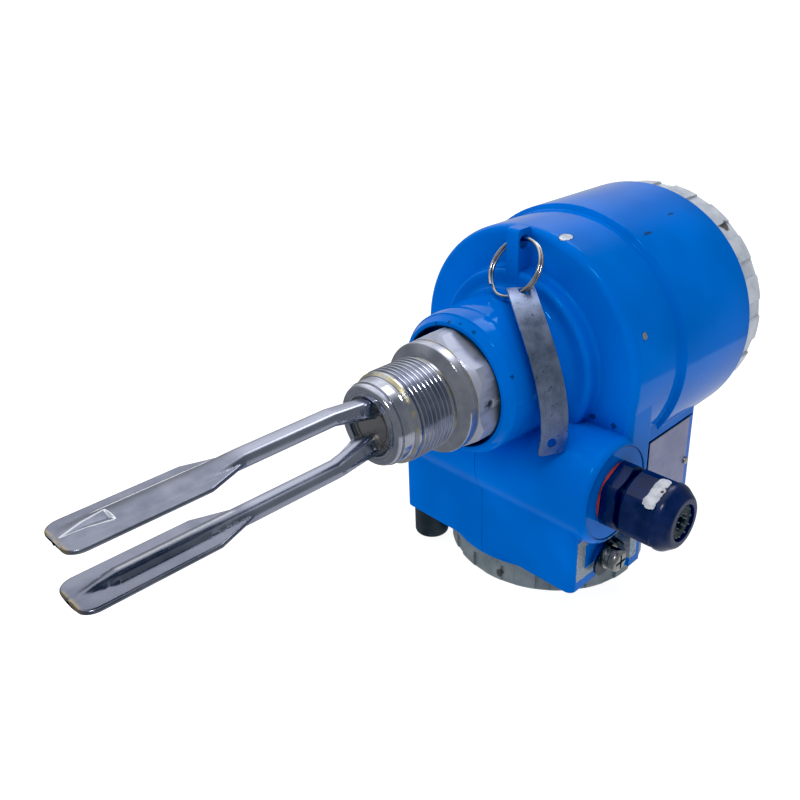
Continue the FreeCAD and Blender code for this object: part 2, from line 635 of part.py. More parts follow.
def rear_cover():
    """Cover of the electronics compartment and its seal."""
    skirt_r = CAVITY_R - FIT
    place = Vector(REAR_X + FIT, 0, AXIS_Z)
    cover = screw_cover(REAR_COVER_R, REAR_COVER_LEN, skirt_r)
    return placed(cover, place), placed(cover_seal(skirt_r), place)


def lower_cover():
    """Same form, hung under the box with its outer face down at z = 0."""
    skirt_r = MOUTH_R - FIT
    place, turn = Vector(0, 0, LOWER_COVER_H), Rotation(Vector(0, 1, 0), 90)
    cover = screw_cover(LOWER_COVER_R, LOWER_COVER_H, skirt_r)
    return placed(cover, place, turn), placed(cover_seal(skirt_r), place, turn)


def insert_axis_points():
    """Screw places of the electronics insert, as (y, z) off the fork axis."""
    turns = [math.radians(90 + 360.0 * i / INSERT_SCREW_COUNT) for i in range(INSERT_SCREW_COUNT)]
    return [(INSERT_SCREW_RING * math.cos(t), INSERT_SCREW_RING * math.sin(t)) for t in turns]


def electronics():
    """Potted round module over the lock nut, and the screws that hold it to the drum's front wall."""
    start = CAVITY_X + SEAT
    clear = LOCK_NUT_R + LOCK_NUT_ROOM
    top = start + INSERT_LEN
    can = turned([(start, clear, 0), (start, INSERT_R, MOULD_EDGE), (top, INSERT_R, MOULD_EDGE), (top, 0, 0),
                  (SHANK_END_X + INSERT_FOOT, 0, 0), (SHANK_END_X + INSERT_FOOT, clear, 0)])
    bores, screws = [], []
    for y, z in insert_axis_points():
        place = Vector(0, y, z)
        bores.append(placed(rod(start - OVERLAP, top + OVERLAP, INSERT_SCREW_R + SEAT), place))
        shaft = rod(start, top + SEAT, INSERT_SCREW_R)
        head_top = top + INSERT_SCREW_HEAD_T
        head = turned([(top + SEAT, 0, 0), (head_top, 0, 0), (head_top, INSERT_SCREW_HEAD_R, EDGE),
                       (top + SEAT, INSERT_SCREW_HEAD_R, 0)])
        screws.append(placed(shaft.fuse(head).removeSplitter(), place))
    return on_fork_axis(can.cut(bores)), on_fork_axis(Part.makeCompound(screws))


def feed_place():
    """Feedthrough axis: through the wall between the boss chamber and the drum."""
    return Vector(0, 0, BOSS_Z)


def feed_bore():
    """Hole for the feedthrough in the wall between drum and box."""
    wall = DRUM_X + DRUM_WALL
    return placed(rod(wall - BOX_WALL - OVERLAP, wall + OVERLAP, FEED_R + SEAT), feed_place())


def feedthrough():
    """Potted plug with a head on the connection side."""
    wall = DRUM_X + DRUM_WALL
    front = wall - BOX_WALL
    plug = turned([(front - FEED_HEAD_T, 0, 0), (wall, 0, 0), (wall, FEED_R, 0), (front - SEAT, FEED_R, 0),
                   (front - SEAT, FEED_HEAD_R, 0), (front - FEED_HEAD_T, FEED_HEAD_R, EDGE)])
    return placed(plug, feed_place())


def terminals():
    """Terminal block under the compartment's roof, with one screw for each pole."""
    roof = AXIS_Z - CAVITY_R - BOX_WALL - SEAT
    body = block(-BLOCK_W / 2, BLOCK_W / 2, -BLOCK_LEN / 2, BLOCK_LEN / 2, roof - BLOCK_H, roof)
    pitch = BLOCK_LEN / BLOCK_POLES
    bores, screws = [], []
    for i in range(BLOCK_POLES):
        y = (i - (BLOCK_POLES - 1) / 2) * pitch
        low = roof - BLOCK_H
        bores.append(upright(rod(low - OVERLAP, low + BLOCK_H / 2, BLOCK_SCREW_R + SEAT), 0, y))
        screw = turned([(low + OVERLAP, 0, 0), (low + BLOCK_H / 2 - SEAT, 0, 0),
                        (low + BLOCK_H / 2 - SEAT, BLOCK_SCREW_R, 0), (low + OVERLAP, BLOCK_SCREW_R, EDGE)])
        screws.append(upright(screw, 0, y))
    return body.cut(bores), Part.makeCompound(screws)


def vent_place():
    """Beside the skirt, towards the box's far front corner."""
    corner = Vector(-BOX_FRONT, BOX_HALF_W, 0).normalize() * (SKIRT_R + FIT + VENT_R)
    return corner.x, corner.y


def vent_bore():
    """Hole for the vent cap's stem in the box's floor."""
    return upright(rod(BOX_Z - OVERLAP, BOX_Z + VENT_STEM_LEN, VENT_STEM_R + SEAT), *vent_place())


def vent_cap():
    """Black cap screwed into the underside of the box."""
    low, stem = BOX_Z - VENT_LEN, BOX_Z + VENT_STEM_LEN - SEAT
    cap = turned([(low, 0, 0), (stem, 0, 0), (stem, VENT_STEM_R, 0), (BOX_Z - SEAT, VENT_STEM_R, 0),
                  (BOX_Z - SEAT, VENT_R, 0), (low, VENT_R, VENT_EDGE)])
    return upright(cap, *vent_place())


def gland_stations():
    """Outward stations of the gland: seal, body, nut, dome and end."""
    seal = SPOT_Y + SEAT
    body = seal + GLAND_SEAL_T + SEAT
    nut = body + GLAND_BODY_LEN + GLAND_GAP
    dome = nut + NUT_LEN
    return seal, body, nut, dome, dome + NUT_DOME


def gland():
    """Flat seal, hexagon body, dome nut and the rubber insert inside the nut."""
    seal_x, body_x, nut_x, dome_x, end_x = gland_stations()
    seal = rod(seal_x, seal_x + GLAND_SEAL_T, GLAND_SEAL_R, ENTRY_R)
    corner = GLAND_AF / 2 * CORNER_SHARE
    body = hexagon(body_x, body_x + GLAND_BODY_LEN, GLAND_AF, corner, GLAND_TURN, (0.0, GLAND_CHAMFER))
    neck_x = body_x + GLAND_BODY_LEN + GLAND_NECK_LEN
    body = body.multiFuse([rod(body_x - GLAND_STUD_LEN, body_x + OVERLAP, ENTRY_R - SEAT),
                           rod(body_x + OVERLAP, neck_x, GLAND_NECK_R)]).removeSplitter()
    body = body.cut(rod(body_x - GLAND_STUD_LEN - OVERLAP, neck_x + OVERLAP, GLAND_BORE_R))
    hex_part = hexagon(nut_x, dome_x, GLAND_AF, corner, GLAND_TURN, (GLAND_CHAMFER, corner - NUT_DOME_R))
    dome = turned([(dome_x - OVERLAP, 0, 0), (end_x, 0, 0), (end_x, NUT_MOUTH_R + NUT_LIP, NUT_LIP_EDGE),
                   (dome_x + NUT_SHOULDER, NUT_DOME_R, NUT_ROUND), (dome_x - OVERLAP, NUT_DOME_R, 0)])
    dome = dome.common(rod(dome_x, end_x + OVERLAP, NUT_DOME_R))
    hollow = turned([(nut_x - OVERLAP, 0, 0), (end_x + OVERLAP, 0, 0), (end_x + OVERLAP, NUT_MOUTH_R, 0),
                     (dome_x + NUT_DOME / 2, NUT_MOUTH_R, 0), (dome_x, GLAND_NECK_R + FIT, 0),
                     (nut_x - OVERLAP, GLAND_NECK_R + FIT, 0)])
    nut = hex_part.fuse(dome).cut(hollow).removeSplitter()
    rim_x = neck_x + SEAT
    front = end_x - OVERLAP
    blind = front - INSERT_BLIND
    insert = turned([(rim_x - GLAND_NECK_LEN, 0, 0), (blind, 0, 0), (blind, INSERT_BORE_R, 0),
                     (front, INSERT_BORE_R, EDGE), (front, NUT_MOUTH_R - FIT, EDGE),
                     (rim_x, NUT_MOUTH_R - FIT, 0),
                     (rim_x, GLAND_BORE_R - SEAT, 0), (rim_x - GLAND_NECK_LEN, GLAND_BORE_R - SEAT, 0)])
    return [on_gland_axis(shape) for shape in (seal, body, nut, insert)]


def ground_place():
    """Ground screw's axis on the box's side wall; local +X points out along -Y."""
    return Vector(-BOX_FRONT + GROUND_BEHIND, -BOX_HALF_W, BOX_Z + GROUND_ABOVE)


def on_ground_axis(shape):
    """Piece drawn along X, set on the box's wall with X pointing out of it."""
    return placed(shape, ground_place(), Rotation(Vector(0, 0, 1), -90))


def ground_seat():
    """Low round boss under the ground terminal."""
    return on_ground_axis(rod(-OVERLAP, GROUND_SEAT_H, GROUND_SEAT_R))


def ground_bore():
    """Hole for the ground screw."""
    return on_ground_axis(rod(-SCREW_DEPTH, GROUND_SEAT_H + OVERLAP, SCREW_R + SEAT))


def clamp_outlines(low, tip):
    """Rounded outlines of the clamp, seen along its ear and from the front, as blocks through it."""
    half = CLAMP_W / 2
    ear = [(low, -half, 0), (tip, -half, CLAMP_EAR_R), (tip, half, CLAMP_EAR_R), (low, half, 0)]
    ear = placed(prism(ear, -CLAMP_TONGUE, CLAMP_REACH), Vector(0, 0, 0), Rotation(Vector(1, 0, 0), -90))
    plan = [(-CLAMP_TONGUE, -half, CLAMP_TONGUE_R), (CLAMP_REACH, -half, 0), (CLAMP_REACH, half, 0),
            (-CLAMP_TONGUE, half, CLAMP_TONGUE_R)]
    plan = placed(prism(plan, low, tip), Vector(0, 0, 0), Rotation(Vector(1, 1, 1), 120))
    return ear, plan


def ground_terminal():
    """Clamp with a bent ear and a round tongue, flat washer, split washer and cross-head screw."""
    low = GROUND_SEAT_H + SEAT
    flat, tip = low + CLAMP_T, low + CLAMP_T + CLAMP_EAR
    inner = CLAMP_REACH - CLAMP_T
    side = [(low, -CLAMP_TONGUE, 0), (flat, -CLAMP_TONGUE, 0), (flat, inner, CLAMP_BEND - CLAMP_T),
            (tip, inner, 0), (tip, CLAMP_REACH, 0), (low, CLAMP_REACH, CLAMP_BEND)]
    half = CLAMP_W / 2
    bent = prism(side, -half, half)
    for outline in clamp_outlines(low, tip):
        bent = bent.common(outline)
    bent.rotate(Vector(0, 0, 0), Vector(1, 0, 0), CLAMP_TURN)
    clamp = bent.cut(rod(low - OVERLAP, flat + OVERLAP, SCREW_R + SEAT))
    x = flat + SEAT
    washer = rod(x, x + WASHER_T, WASHER_R, SCREW_R + SEAT)
    x += WASHER_T + SEAT
    spring = rod(x, x + SPRING_T, SPRING_R, SCREW_R + SEAT)
    split = SPRING_GAP / 2
    spring = spring.cut(block(x - OVERLAP, x + SPRING_T + OVERLAP, 0, SPRING_R + OVERLAP, -split, split))
    x += SPRING_T + FIT
    top = x + SCREW_HEAD_T
    end = SEAT - SCREW_DEPTH
    screw = turned([(end, 0, 0), (top, 0, 0), (top, SCREW_HEAD_R, SCREW_CROWN), (x, SCREW_HEAD_R, 0),
                    (x, SCREW_R, 0), (end, SCREW_R, EDGE)])
    slot = block(top - SLOT_DEPTH, top + OVERLAP, -SLOT_REACH, SLOT_REACH, -SLOT_W / 2, SLOT_W / 2)
    cross = slot.copy()
    cross.rotate(Vector(0, 0, 0), Vector(1, 0, 0), 90)
    screw = screw.cut([slot, cross])
    return [on_ground_axis(shape) for shape in (clamp, washer, spring, screw)]


def plate_corner():
    """Lower front corner of the nameplate on the side wall."""
    return PLATE_BEHIND, -BOX_HALF_W, BOX_Z + PLATE_ABOVE


def rivet_places():
    """Where the two rivets go through the nameplate."""
    x, y, z = plate_corner()
    return [(x + RIVET_INSET, y, z + PLATE_H / 2), (x + PLATE_W - RIVET_INSET, y, z + PLATE_H / 2)]


def rivets():
    """Two dome-head rivets that hold the nameplate."""
    head = PLATE_T - PLATE_RECESS + SEAT
    shape = turned([(-RIVET_LEN, 0, 0), (head + RIVET_HEAD_T, 0, 0), (head + RIVET_HEAD_T, RIVET_R, EDGE),
                    (head, RIVET_R, 0), (head, RIVET_R / 2, 0), (-RIVET_LEN, RIVET_R / 2, 0)])
    turn = Rotation(Vector(0, 0, 1), -90)
    return Part.makeCompound([placed(shape, Vector(*place), turn) for place in rivet_places()])


def nameplate():
    """Bare plate with rounded corners, in the shallow recess of the side wall."""
    x, y, z = plate_corner()
    outline = [(0, 0, PLATE_CORNER), (PLATE_W, 0, PLATE_CORNER), (PLATE_W, PLATE_H, PLATE_CORNER),
               (0, PLATE_H, PLATE_CORNER)]
    sheet = Part.Face(corner_loop(outline)).extrude(Vector(0, 0, PLATE_T))
    sheet = placed(sheet, Vector(x, y + PLATE_RECESS - SEAT, z), Rotation(Vector(1, 0, 0), 90))
    turn = Rotation(Vector(0, 0, 1), -90)
    hole = rod(-PLATE_T, PLATE_T, RIVET_R / 2 + SEAT)
    return sheet.cut([placed(hole, Vector(*place), turn) for place in rivet_places()])


def ring_turn():
    """How the tag ring leans on the neck."""
    return Rotation(Vector(0, 0, 1), RING_YAW).multiply(Rotation(Vector(0, 1, 0), RING_TILT))


def ring_frame():
    """Middle of the tag ring, its downward and its sideways direction; the ring hangs in the lug's hole."""
    down = ring_turn().multVec(Vector(0, 0, -1))
    side = ring_turn().multVec(Vector(0, -1, 0))
    swing = math.radians(RING_SWING)
    held = lug_hole_place() + Vector(0, 0, RING_RISE)
    return held + (down * math.cos(swing) + side * math.sin(swing)) * RING_MEAN_R, down, side


def ring_crossing():
    """Path on which the wire climbs from one flat turn of the ring to the other."""
    points = []
    for k in range(CROSSING_STEPS + 1):
        t = k / CROSSING_STEPS
        a = math.radians(RING_CROSSING * t)
        climb = RING_PITCH * (3 * t ** 2 - 2 * t ** 3 - 0.5)
        points.append(Vector(RING_MEAN_R * math.cos(a), RING_MEAN_R * math.sin(a), climb))
    a = math.radians(RING_CROSSING)
    path = Part.BSplineCurve()
    path.interpolate(Points=points, InitialTangent=Vector(0, 1, 0),
                     FinalTangent=Vector(-math.sin(a), math.cos(a), 0))
    return Part.Wire(path.toShape())


def split_ring():
    """Wire wound twice round: two flat turns joined by a short crossing."""
    up = Vector(0, 0, RING_PITCH / 2)
    section = Part.Wire(Part.makeCircle(RING_WIRE_R, Vector(RING_MEAN_R, 0, 0) - up, Vector(0, 1, 0)))
    low = Part.Face(section).revolve(Vector(0, 0, 0), Vector(0, 0, 1), 360 - RING_CROSSING)
    low.rotate(Vector(0, 0, 0), Vector(0, 0, 1), RING_CROSSING)
    high = low.translated(up * 2)
    coil = low.fuse([ring_crossing().makePipeShell([section], True, True), high])
    coil.rotate(Vector(0, 0, 0), Vector(0, 0, 1), RING_END)
    coil.rotate(Vector(0, 0, 0), Vector(0, 1, 0), 90)
    return placed(coil, ring_frame()[0], ring_turn())


def tag_eye():
    """Point of the ring that carries the tag, and the wire's direction there."""
    centre, down, side = ring_frame()
    a = math.radians(TAG_ANGLE)
    out = down * math.cos(a) + side * math.sin(a)
    return centre + out * RING_MEAN_R, side * math.cos(a) - down * math.sin(a)


def tag_path():
    """Middle line of the tag: top, shoulder, flank and foot, and the direction across it."""
    lean, shoulder = math.radians(TAG_LEAN), math.radians(TAG_SHOULDER)
    across = Vector(math.cos(lean), -math.sin(lean), 0)
    off = NECK_ROOT_R + TAG_OFF_NECK
    eye = tag_eye()[0] + across * TAG_EYE_OFFSET
    bend = Vector(eye.x - TAG_FORWARD, -off * math.cos(shoulder), AXIS_Z + off * math.sin(shoulder))
    flank = Vector(bend.x, -off, AXIS_Z)
    foot = Vector(bend.x, -off, AXIS_Z - TAG_DROP)
    top = eye + (eye - bend).normalize() * TAG_EYE_INSET
    return [top, bend, flank, foot], across


def tag_section(place, run, across):
    """Rectangle across the tag."""
    run = run.normalize()
    across = (across - run * across.dot(run)).normalize()
    half, skin = across * (TAG_W / 2), run.cross(across) * (TAG_T / 2)
    corners = [place + half + skin, place - half + skin, place - half - skin, place + half - skin]
    return Part.makePolygon(corners + corners[:1])


def foot_corners(strip, foot):
    """The two short edges at the tag's lower corners."""
    def at_corner(edge):
        return edge.Length < 2 * TAG_T and abs(edge.CenterOfMass.z - foot.z) < OVERLAP
    return [edge for edge in strip.Edges if at_corner(edge)]


def tag():
    """Steel strip that hangs on the ring and bends over the neck's shoulder."""
    path, across = tag_path()
    top, bend, flank, foot = path
    runs = [bend - top, flank - top, foot - bend, foot - flank]
    strip = Part.makeLoft([tag_section(place, run, across) for place, run in zip(path, runs)], True)
    strip = strip.makeFillet(TAG_CORNER_R, foot_corners(strip, foot))
    out = across.cross(Vector(0, 0, 1))
    start = foot + Vector(0, 0, TAG_HOLE_INSET) - out * TAG_W / 2
    hole = Part.makeCylinder(TAG_HOLE_R, TAG_W, start, out)
    place, wire = tag_eye()
    eye = Part.makeCylinder(TAG_EYE_R, TAG_W, place - wire * TAG_W / 2, wire)
    return strip.cut([eye, hole])


def export(name, shape):
    """Writes one named piece and prints its solids and volume."""
    shape.exportStep(os.path.join("parts", name + ".step"))
    print("%-22s solids %d  volume %9.1f mm3" % (name, len(shape.Solids), shape.Volume))


def main():
    """Builds every piece and writes it to its own file."""
    os.makedirs("parts", exist_ok=True)
    drive_ring, piezo_discs, drive_nut = drive_stack()
    insert, insert_screws = electronics()
    block_body, block_screws = terminals()
    rear, rear_seal = rear_cover()
    lower, lower_seal = lower_cover()
    seal, body, nut, rubber = gland()
    clamp, washer, spring, screw = ground_terminal()
    pieces = {
        "housing": housing(),
        "process_connection": process_connection(),
        "neck_o_ring": on_fork_axis(o_ring_solid(HEX_X - O_RING_R - SEAT, NECK_O_RING_MEAN, O_RING_R)),
        "lock_nut": lock_nut(),
        "vibrating_fork": vibrating_fork(),
        "drive_ring": drive_ring,
        "piezo_discs": piezo_discs,
        "drive_nut": drive_nut,
        "electronics_insert": insert,
        "insert_screws": insert_screws,
        "feedthrough": feedthrough(),
        "terminal_block": block_body,
        "terminal_screws": block_screws,
        "rear_cover": rear,
        "rear_cover_o_ring": rear_seal,
        "lower_cover": lower,
        "lower_cover_o_ring": lower_seal,
        "vent_cap": vent_cap(),
        "gland_seal_ring": seal,
        "gland_body": body,
        "gland_nut": nut,
        "gland_insert": rubber,
        "ground_clamp": clamp,
        "ground_washer": washer,
        "ground_spring_washer": spring,
        "ground_screw": screw,
        "nameplate": nameplate(),
        "nameplate_rivets": rivets(),
        "split_ring": split_ring(),
        "tag": tag(),
    }
    for name, shape in pieces.items():
        export(name, shape)


main()
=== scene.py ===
# %% [markdown]
# # A vibrating fork level switch
# A blue painted casting stands on its lower screw cover. A steel fork sticks out of a threaded
# connection to the left, a black cable gland points to the right, and a tag hangs on a split
# ring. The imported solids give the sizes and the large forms. This lesson first makes the
# finishes, each a small tree of procedural nodes that reads the solid's own millimetres. Then it
# makes a few pieces that are finer than the solids: a paper remnant, the forged fork, the turned
# connection, the painted rim of the neck and the clamping fingers in the gland's mouth.

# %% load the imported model
import json
import math
import random

import bmesh
import bpy
from mathutils import Matrix, Vector


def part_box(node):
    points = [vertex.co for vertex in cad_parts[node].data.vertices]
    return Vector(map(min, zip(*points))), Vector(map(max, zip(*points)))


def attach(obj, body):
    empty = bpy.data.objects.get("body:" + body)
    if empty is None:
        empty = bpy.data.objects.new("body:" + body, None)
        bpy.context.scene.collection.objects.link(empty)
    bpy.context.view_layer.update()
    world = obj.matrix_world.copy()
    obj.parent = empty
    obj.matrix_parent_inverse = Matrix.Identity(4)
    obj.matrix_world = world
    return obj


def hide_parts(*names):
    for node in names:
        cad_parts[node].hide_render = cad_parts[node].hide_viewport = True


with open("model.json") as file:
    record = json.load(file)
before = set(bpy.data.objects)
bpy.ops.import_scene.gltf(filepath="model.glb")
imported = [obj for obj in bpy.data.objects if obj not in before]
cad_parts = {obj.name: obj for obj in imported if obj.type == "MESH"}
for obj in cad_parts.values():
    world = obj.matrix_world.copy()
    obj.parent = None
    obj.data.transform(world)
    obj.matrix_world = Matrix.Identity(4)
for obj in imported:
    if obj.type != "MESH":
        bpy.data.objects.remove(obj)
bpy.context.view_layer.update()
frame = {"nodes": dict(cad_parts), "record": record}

# %% [markdown]
# ## Camera
# The photograph was taken from close by, a little above the drum. A camera could be aimed by eye,
# but this one was worked out from points on round and straight edges of the casting, together
# with their sizes, so the numbers are a measured fit. The shift puts the optical middle where the
# fit found it.

# %% camera
IMAGE = 800.0
FOCAL = 840.16
MIDDLE = (397.52, 339.20)
AZIMUTH, ELEVATION, ROLL = (math.radians(a) for a in (-42.65, 22.95, -2.18))
EYE = Vector((-0.25785, -0.18698, 0.22817))

lens = bpy.data.cameras.new("photo_camera")
lens.sensor_width = 36.0
lens.lens = lens.sensor_width * FOCAL / IMAGE
lens.shift_x = (IMAGE / 2 - MIDDLE[0]) / IMAGE
lens.shift_y = (MIDDLE[1] - IMAGE / 2) / IMAGE
lens.clip_start, lens.clip_end = 0.01, 3000.0
camera = bpy.data.objects.new("photo_camera", lens)
bpy.context.scene.collection.objects.link(camera)

back = Vector((math.sin(AZIMUTH) * math.cos(ELEVATION), -math.cos(AZIMUTH) * math.cos(ELEVATION),
               math.sin(ELEVATION)))
right = Vector((math.cos(AZIMUTH), math.sin(AZIMUTH), 0.0))
turn = Matrix((right, back.cross(right), back)).transposed() @ Matrix.Rotation(ROLL, 3, "Z")
camera.matrix_world = Matrix.Translation(EYE) @ turn.to_4x4()
bpy.context.scene.camera = camera
print("camera", round(lens.lens, 2), "mm lens at", [round(v, 3) for v in EYE])

# %% [markdown]
# ## Finishes: two helpers
# Every finish below is a Principled shader fed by noise, ramps and masks. Building node trees by
# hand takes many lines, so two classes keep each finish short. The first makes nodes in any tree,
# and the surroundings use it too. The second works in millimetres of the solid itself, so a 2 mm
# speck is a 2 mm speck on every piece. Only colour, roughness, metal and normal are linked; what
# is the same all over is set straight on the shader.

# %% the finish helpers
def rgb(red, green, blue):
    """Linear colour from the 0-255 values that a picture shows."""
    def straight(value):
        value /= 255.0
        return value / 12.92 if value <= 0.04045 else ((value + 0.055) / 1.055) ** 2.4
    return (straight(red), straight(green), straight(blue), 1.0)


class Nodes:
    """A node tree under construction, with one short call for each kind of node."""

    def __init__(self, tree):
        self.tree = tree

    def node(self, kind, **settings):
        made = self.tree.nodes.new(kind)
        for name, value in settings.items():
            setattr(made, name, value)
        return made

    def feed(self, socket, value):
        if isinstance(value, bpy.types.NodeSocket):
            self.tree.links.new(value, socket)
        else:
            socket.default_value = value

    def maths(self, operation, *values):
        made = self.node("ShaderNodeMath", operation=operation)
        for socket, value in zip(made.inputs, values):
            self.feed(socket, value)
        return made.outputs[0]

    def less(self, first, second):
        return self.maths("SUBTRACT", first, second)

    def chain(self, operation, values):
        total = values[0]
        for value in values[1:]:
            total = self.maths(operation, total, value)
        return total

    def add(self, *values):
        return self.chain("ADD", values)

    def times(self, *values):
        return self.chain("MULTIPLY", values)

    def most(self, masks):
        return self.chain("MAXIMUM", masks)

    def rise(self, value, low, high):
        """0 below low, 1 above high, smooth between; falls where low is the larger."""
        made = self.node("ShaderNodeMapRange", interpolation_type="SMOOTHSTEP")
        self.feed(made.inputs["Value"], value)
        self.feed(made.inputs["From Min"], low)
        self.feed(made.inputs["From Max"], high)
        return made.outputs[0]

    def between(self, value, low, high, soft):
        """1 from low to high, 0 outside, over soft edges."""
        return self.times(self.rise(value, low - soft, low + soft),
                          self.rise(value, high + soft, high - soft))

    def mix(self, share, first, second):
        made = self.node("ShaderNodeMix", data_type="RGBA")
        for index, value in ((0, share), (6, first), (7, second)):
            self.feed(made.inputs[index], value)
        return made.outputs[2]

    def level(self, share, first, second):
        """A number mixed as mix does colours."""
        made = self.node("ShaderNodeMix", data_type="FLOAT")
        for index, value in ((0, share), (2, first), (3, second)):
            self.feed(made.inputs[index], value)
        return made.outputs[0]


class Finish(Nodes):
    """A material under construction; it reads the solid's own coordinates in millimetres."""

    def __init__(self, name, constants=None):
        self.material = bpy.data.materials.new(name)
        self.material.use_nodes = True
        super().__init__(self.material.node_tree)
        self.shader = self.tree.nodes["Principled BSDF"]
        for socket, value in (constants or {}).items():
            self.shader.inputs[socket].default_value = value

    def place(self, centre=(0, 0, 0), stretch=(1, 1, 1)):
        """Object coordinates in millimetres, counted from a centre."""
        mapping = self.node("ShaderNodeMapping")
        mapping.inputs["Location"].default_value = [-c * s for c, s in zip(centre, stretch)]
        mapping.inputs["Scale"].default_value = [1000.0 * s for s in stretch]
        self.feed(mapping.inputs["Vector"], self.node("ShaderNodeTexCoord").outputs["Object"])
        return mapping.outputs[0]

    def axis(self, letter):
        split = self.node("ShaderNodeSeparateXYZ")
        self.feed(split.inputs[0], self.place())
        return split.outputs["XYZ".index(letter)]

    def noise(self, size, detail=3.0, rough=0.55, stretch=(1, 1, 1), at=None):
        """Cloudy noise whose lumps are about size millimetres across."""
        made = self.node("ShaderNodeTexNoise")
        made.inputs["Scale"].default_value = 1.0 / size
        made.inputs["Detail"].default_value = detail
        made.inputs["Roughness"].default_value = rough
        self.feed(made.inputs["Vector"], at if at else self.place(stretch=stretch))
        return made.outputs[0]

    def round_the_axis(self, letter, first, second):
        """Distance from an axis through two millimetre values of the other two letters."""
        others = [c for c in "XYZ" if c != letter]
        squares = [self.maths("POWER", self.less(self.axis(c), v), 2.0)
                   for c, v in zip(others, (first, second))]
        return self.maths("SQRT", self.add(*squares))

    def spot(self, centre, radius, ragged=0.35, stretch=(1, 1, 1)):
        """1 inside a ragged blot, 0 outside it."""
        length = self.node("ShaderNodeVectorMath", operation="LENGTH")
        self.feed(length.inputs[0], self.place(centre, stretch))
        wander = self.times(self.less(self.noise(radius * 0.7), 0.5), 2.0 * ragged * radius)
        return self.rise(self.add(length.outputs["Value"], wander), radius, radius * 0.8)

    def relief(self, height, millimetres, edge=0.0):
        """Bump from a height of 0 to 1, over edges softened by a small bevel."""
        bump = self.node("ShaderNodeBump")
        bump.inputs["Distance"].default_value = millimetres / 1000.0
        self.feed(bump.inputs["Height"], height)
        if edge:
            bevel = self.node("ShaderNodeBevel", samples=6)
            bevel.inputs["Radius"].default_value = edge / 1000.0
            self.feed(bump.inputs["Normal"], bevel.outputs[0])
        return bump.outputs[0]

    def done(self, colour, roughness, normal, metal=None):
        sockets = {"Base Color": colour, "Roughness": roughness, "Normal": normal}
        if metal is not None:
            sockets["Metallic"] = metal
        for name, value in sockets.items():
            self.feed(self.shader.inputs[name], value)
        return self.material


FINISHES = {}
print("helpers ready:", [name for name in dir(Finish) if not name.startswith("_")])

# %% [markdown]
# ## Floor, light and surroundings
# The switch stands on a bright, plain table. The paint mirrors its surroundings, and the picture
# tells what they were: white paper to the right, whose far edge draws a crisp line along the
# drum's side, a dim room to the left, and a lamp overhead. A large floor gives the white ground
# and the bounce light. It is left out of mirror rays, so the world behind it can say how bright
# each direction is; the camera itself sees that world as plain white.

# %% floor and world
FLOOR_GLOW, FLOOR_HALF, FLOOR_DROP = 0.93, 900.0, 2e-4
BLACK_LEVEL = (0.010, 0.004, 0.0)
ROOM, PAPER, CEILING, WALL, WINDOW = 0.24, 0.38, 0.90, 0.34, 3.2


def plain_floor():
    mesh = bpy.data.meshes.new("floor")
    corners = [(x * FLOOR_HALF, y * FLOOR_HALF, -FLOOR_DROP)
               for x, y in ((-1, -1), (1, -1), (1, 1), (-1, 1))]
    mesh.from_pydata(corners, [], [(0, 1, 2, 3)])
    floor = bpy.data.objects.new("floor", mesh)
    bpy.context.scene.collection.objects.link(floor)
    finish = Finish("table_white", {"Specular IOR Level": 0.0, "Emission Strength": FLOOR_GLOW})
    finish.shader.inputs["Emission Color"].default_value = (1.0, 1.0, 1.0, 1.0)
    cloud = finish.noise(400.0, detail=2.0)
    colour = finish.mix(cloud, (0.26, 0.26, 0.26, 1.0), (0.30, 0.30, 0.30, 1.0))
    mesh.materials.append(finish.done(colour, 0.9, finish.relief(cloud, 0.01)))
    floor.visible_glossy = False


def surroundings():
    """Dim room, white paper low on the right, pale ceiling and wall, and a small bright window."""
    world = bpy.data.worlds.new("room")
    world.use_nodes = True
    bpy.context.scene.world = world
    made = Nodes(world.node_tree)
    look = made.node("ShaderNodeTexCoord").outputs["Generated"]

    def lobe(direction, low, high):
        dot = made.node("ShaderNodeVectorMath", operation="DOT_PRODUCT")
        made.feed(dot.inputs[0], look)
        made.feed(dot.inputs[1], Vector(direction).normalized())
        return made.rise(dot.outputs["Value"], low, high)

    paper = made.times(lobe((0, 0, -1), 0.39, 0.41), lobe((0.8, -0.6, 0), -0.2, 0.25))
    ceiling = lobe((0.15, 0.45, 0.88), 0.55, 0.95)
    wall = lobe((0.63, 0.75, 0.2), 0.80, 0.97)
    window = lobe((0.62, 0.15, 0.77), 0.972, 0.992)
    total = ROOM
    for share, strength in ((paper, PAPER), (ceiling, CEILING), (wall, WALL), (window, WINDOW)):
        total = made.add(total, made.times(share, strength))
    seen = made.node("ShaderNodeLightPath").outputs["Is Camera Ray"]
    shade = world.node_tree.nodes["Background"]
    made.feed(shade.inputs["Strength"], made.most([total, seen]))
    made.feed(shade.inputs["Color"], (0.97, 0.98, 1.0, 1.0))


plain_floor()
surroundings()
look = bpy.context.scene.view_settings
look.view_transform = "Standard"
look.use_curve_mapping = True
look.curve_mapping.black_level = BLACK_LEVEL
look.curve_mapping.update()
print("floor and room made")

# %% [markdown]
# ## Lamps
# Two wide soft boxes light the object without being seen in its gloss. A small one does the
# reverse: it is seen only in the gloss, where it leaves the short bright sparks on thread and
# edges.

# %% lamps
AIM = (-0.02, 0, 0.08)
FILLS = [("overhead", (-0.3, -0.3, 1.3), (0.9, 0.9), 8.5),
         ("left", (-1.2, 0.5, 0.7), (0.9, 0.9), 4.2)]
SPARK = ("spark", (-0.67, -0.39, 1.0), (0.22, 0.15), 2.8)


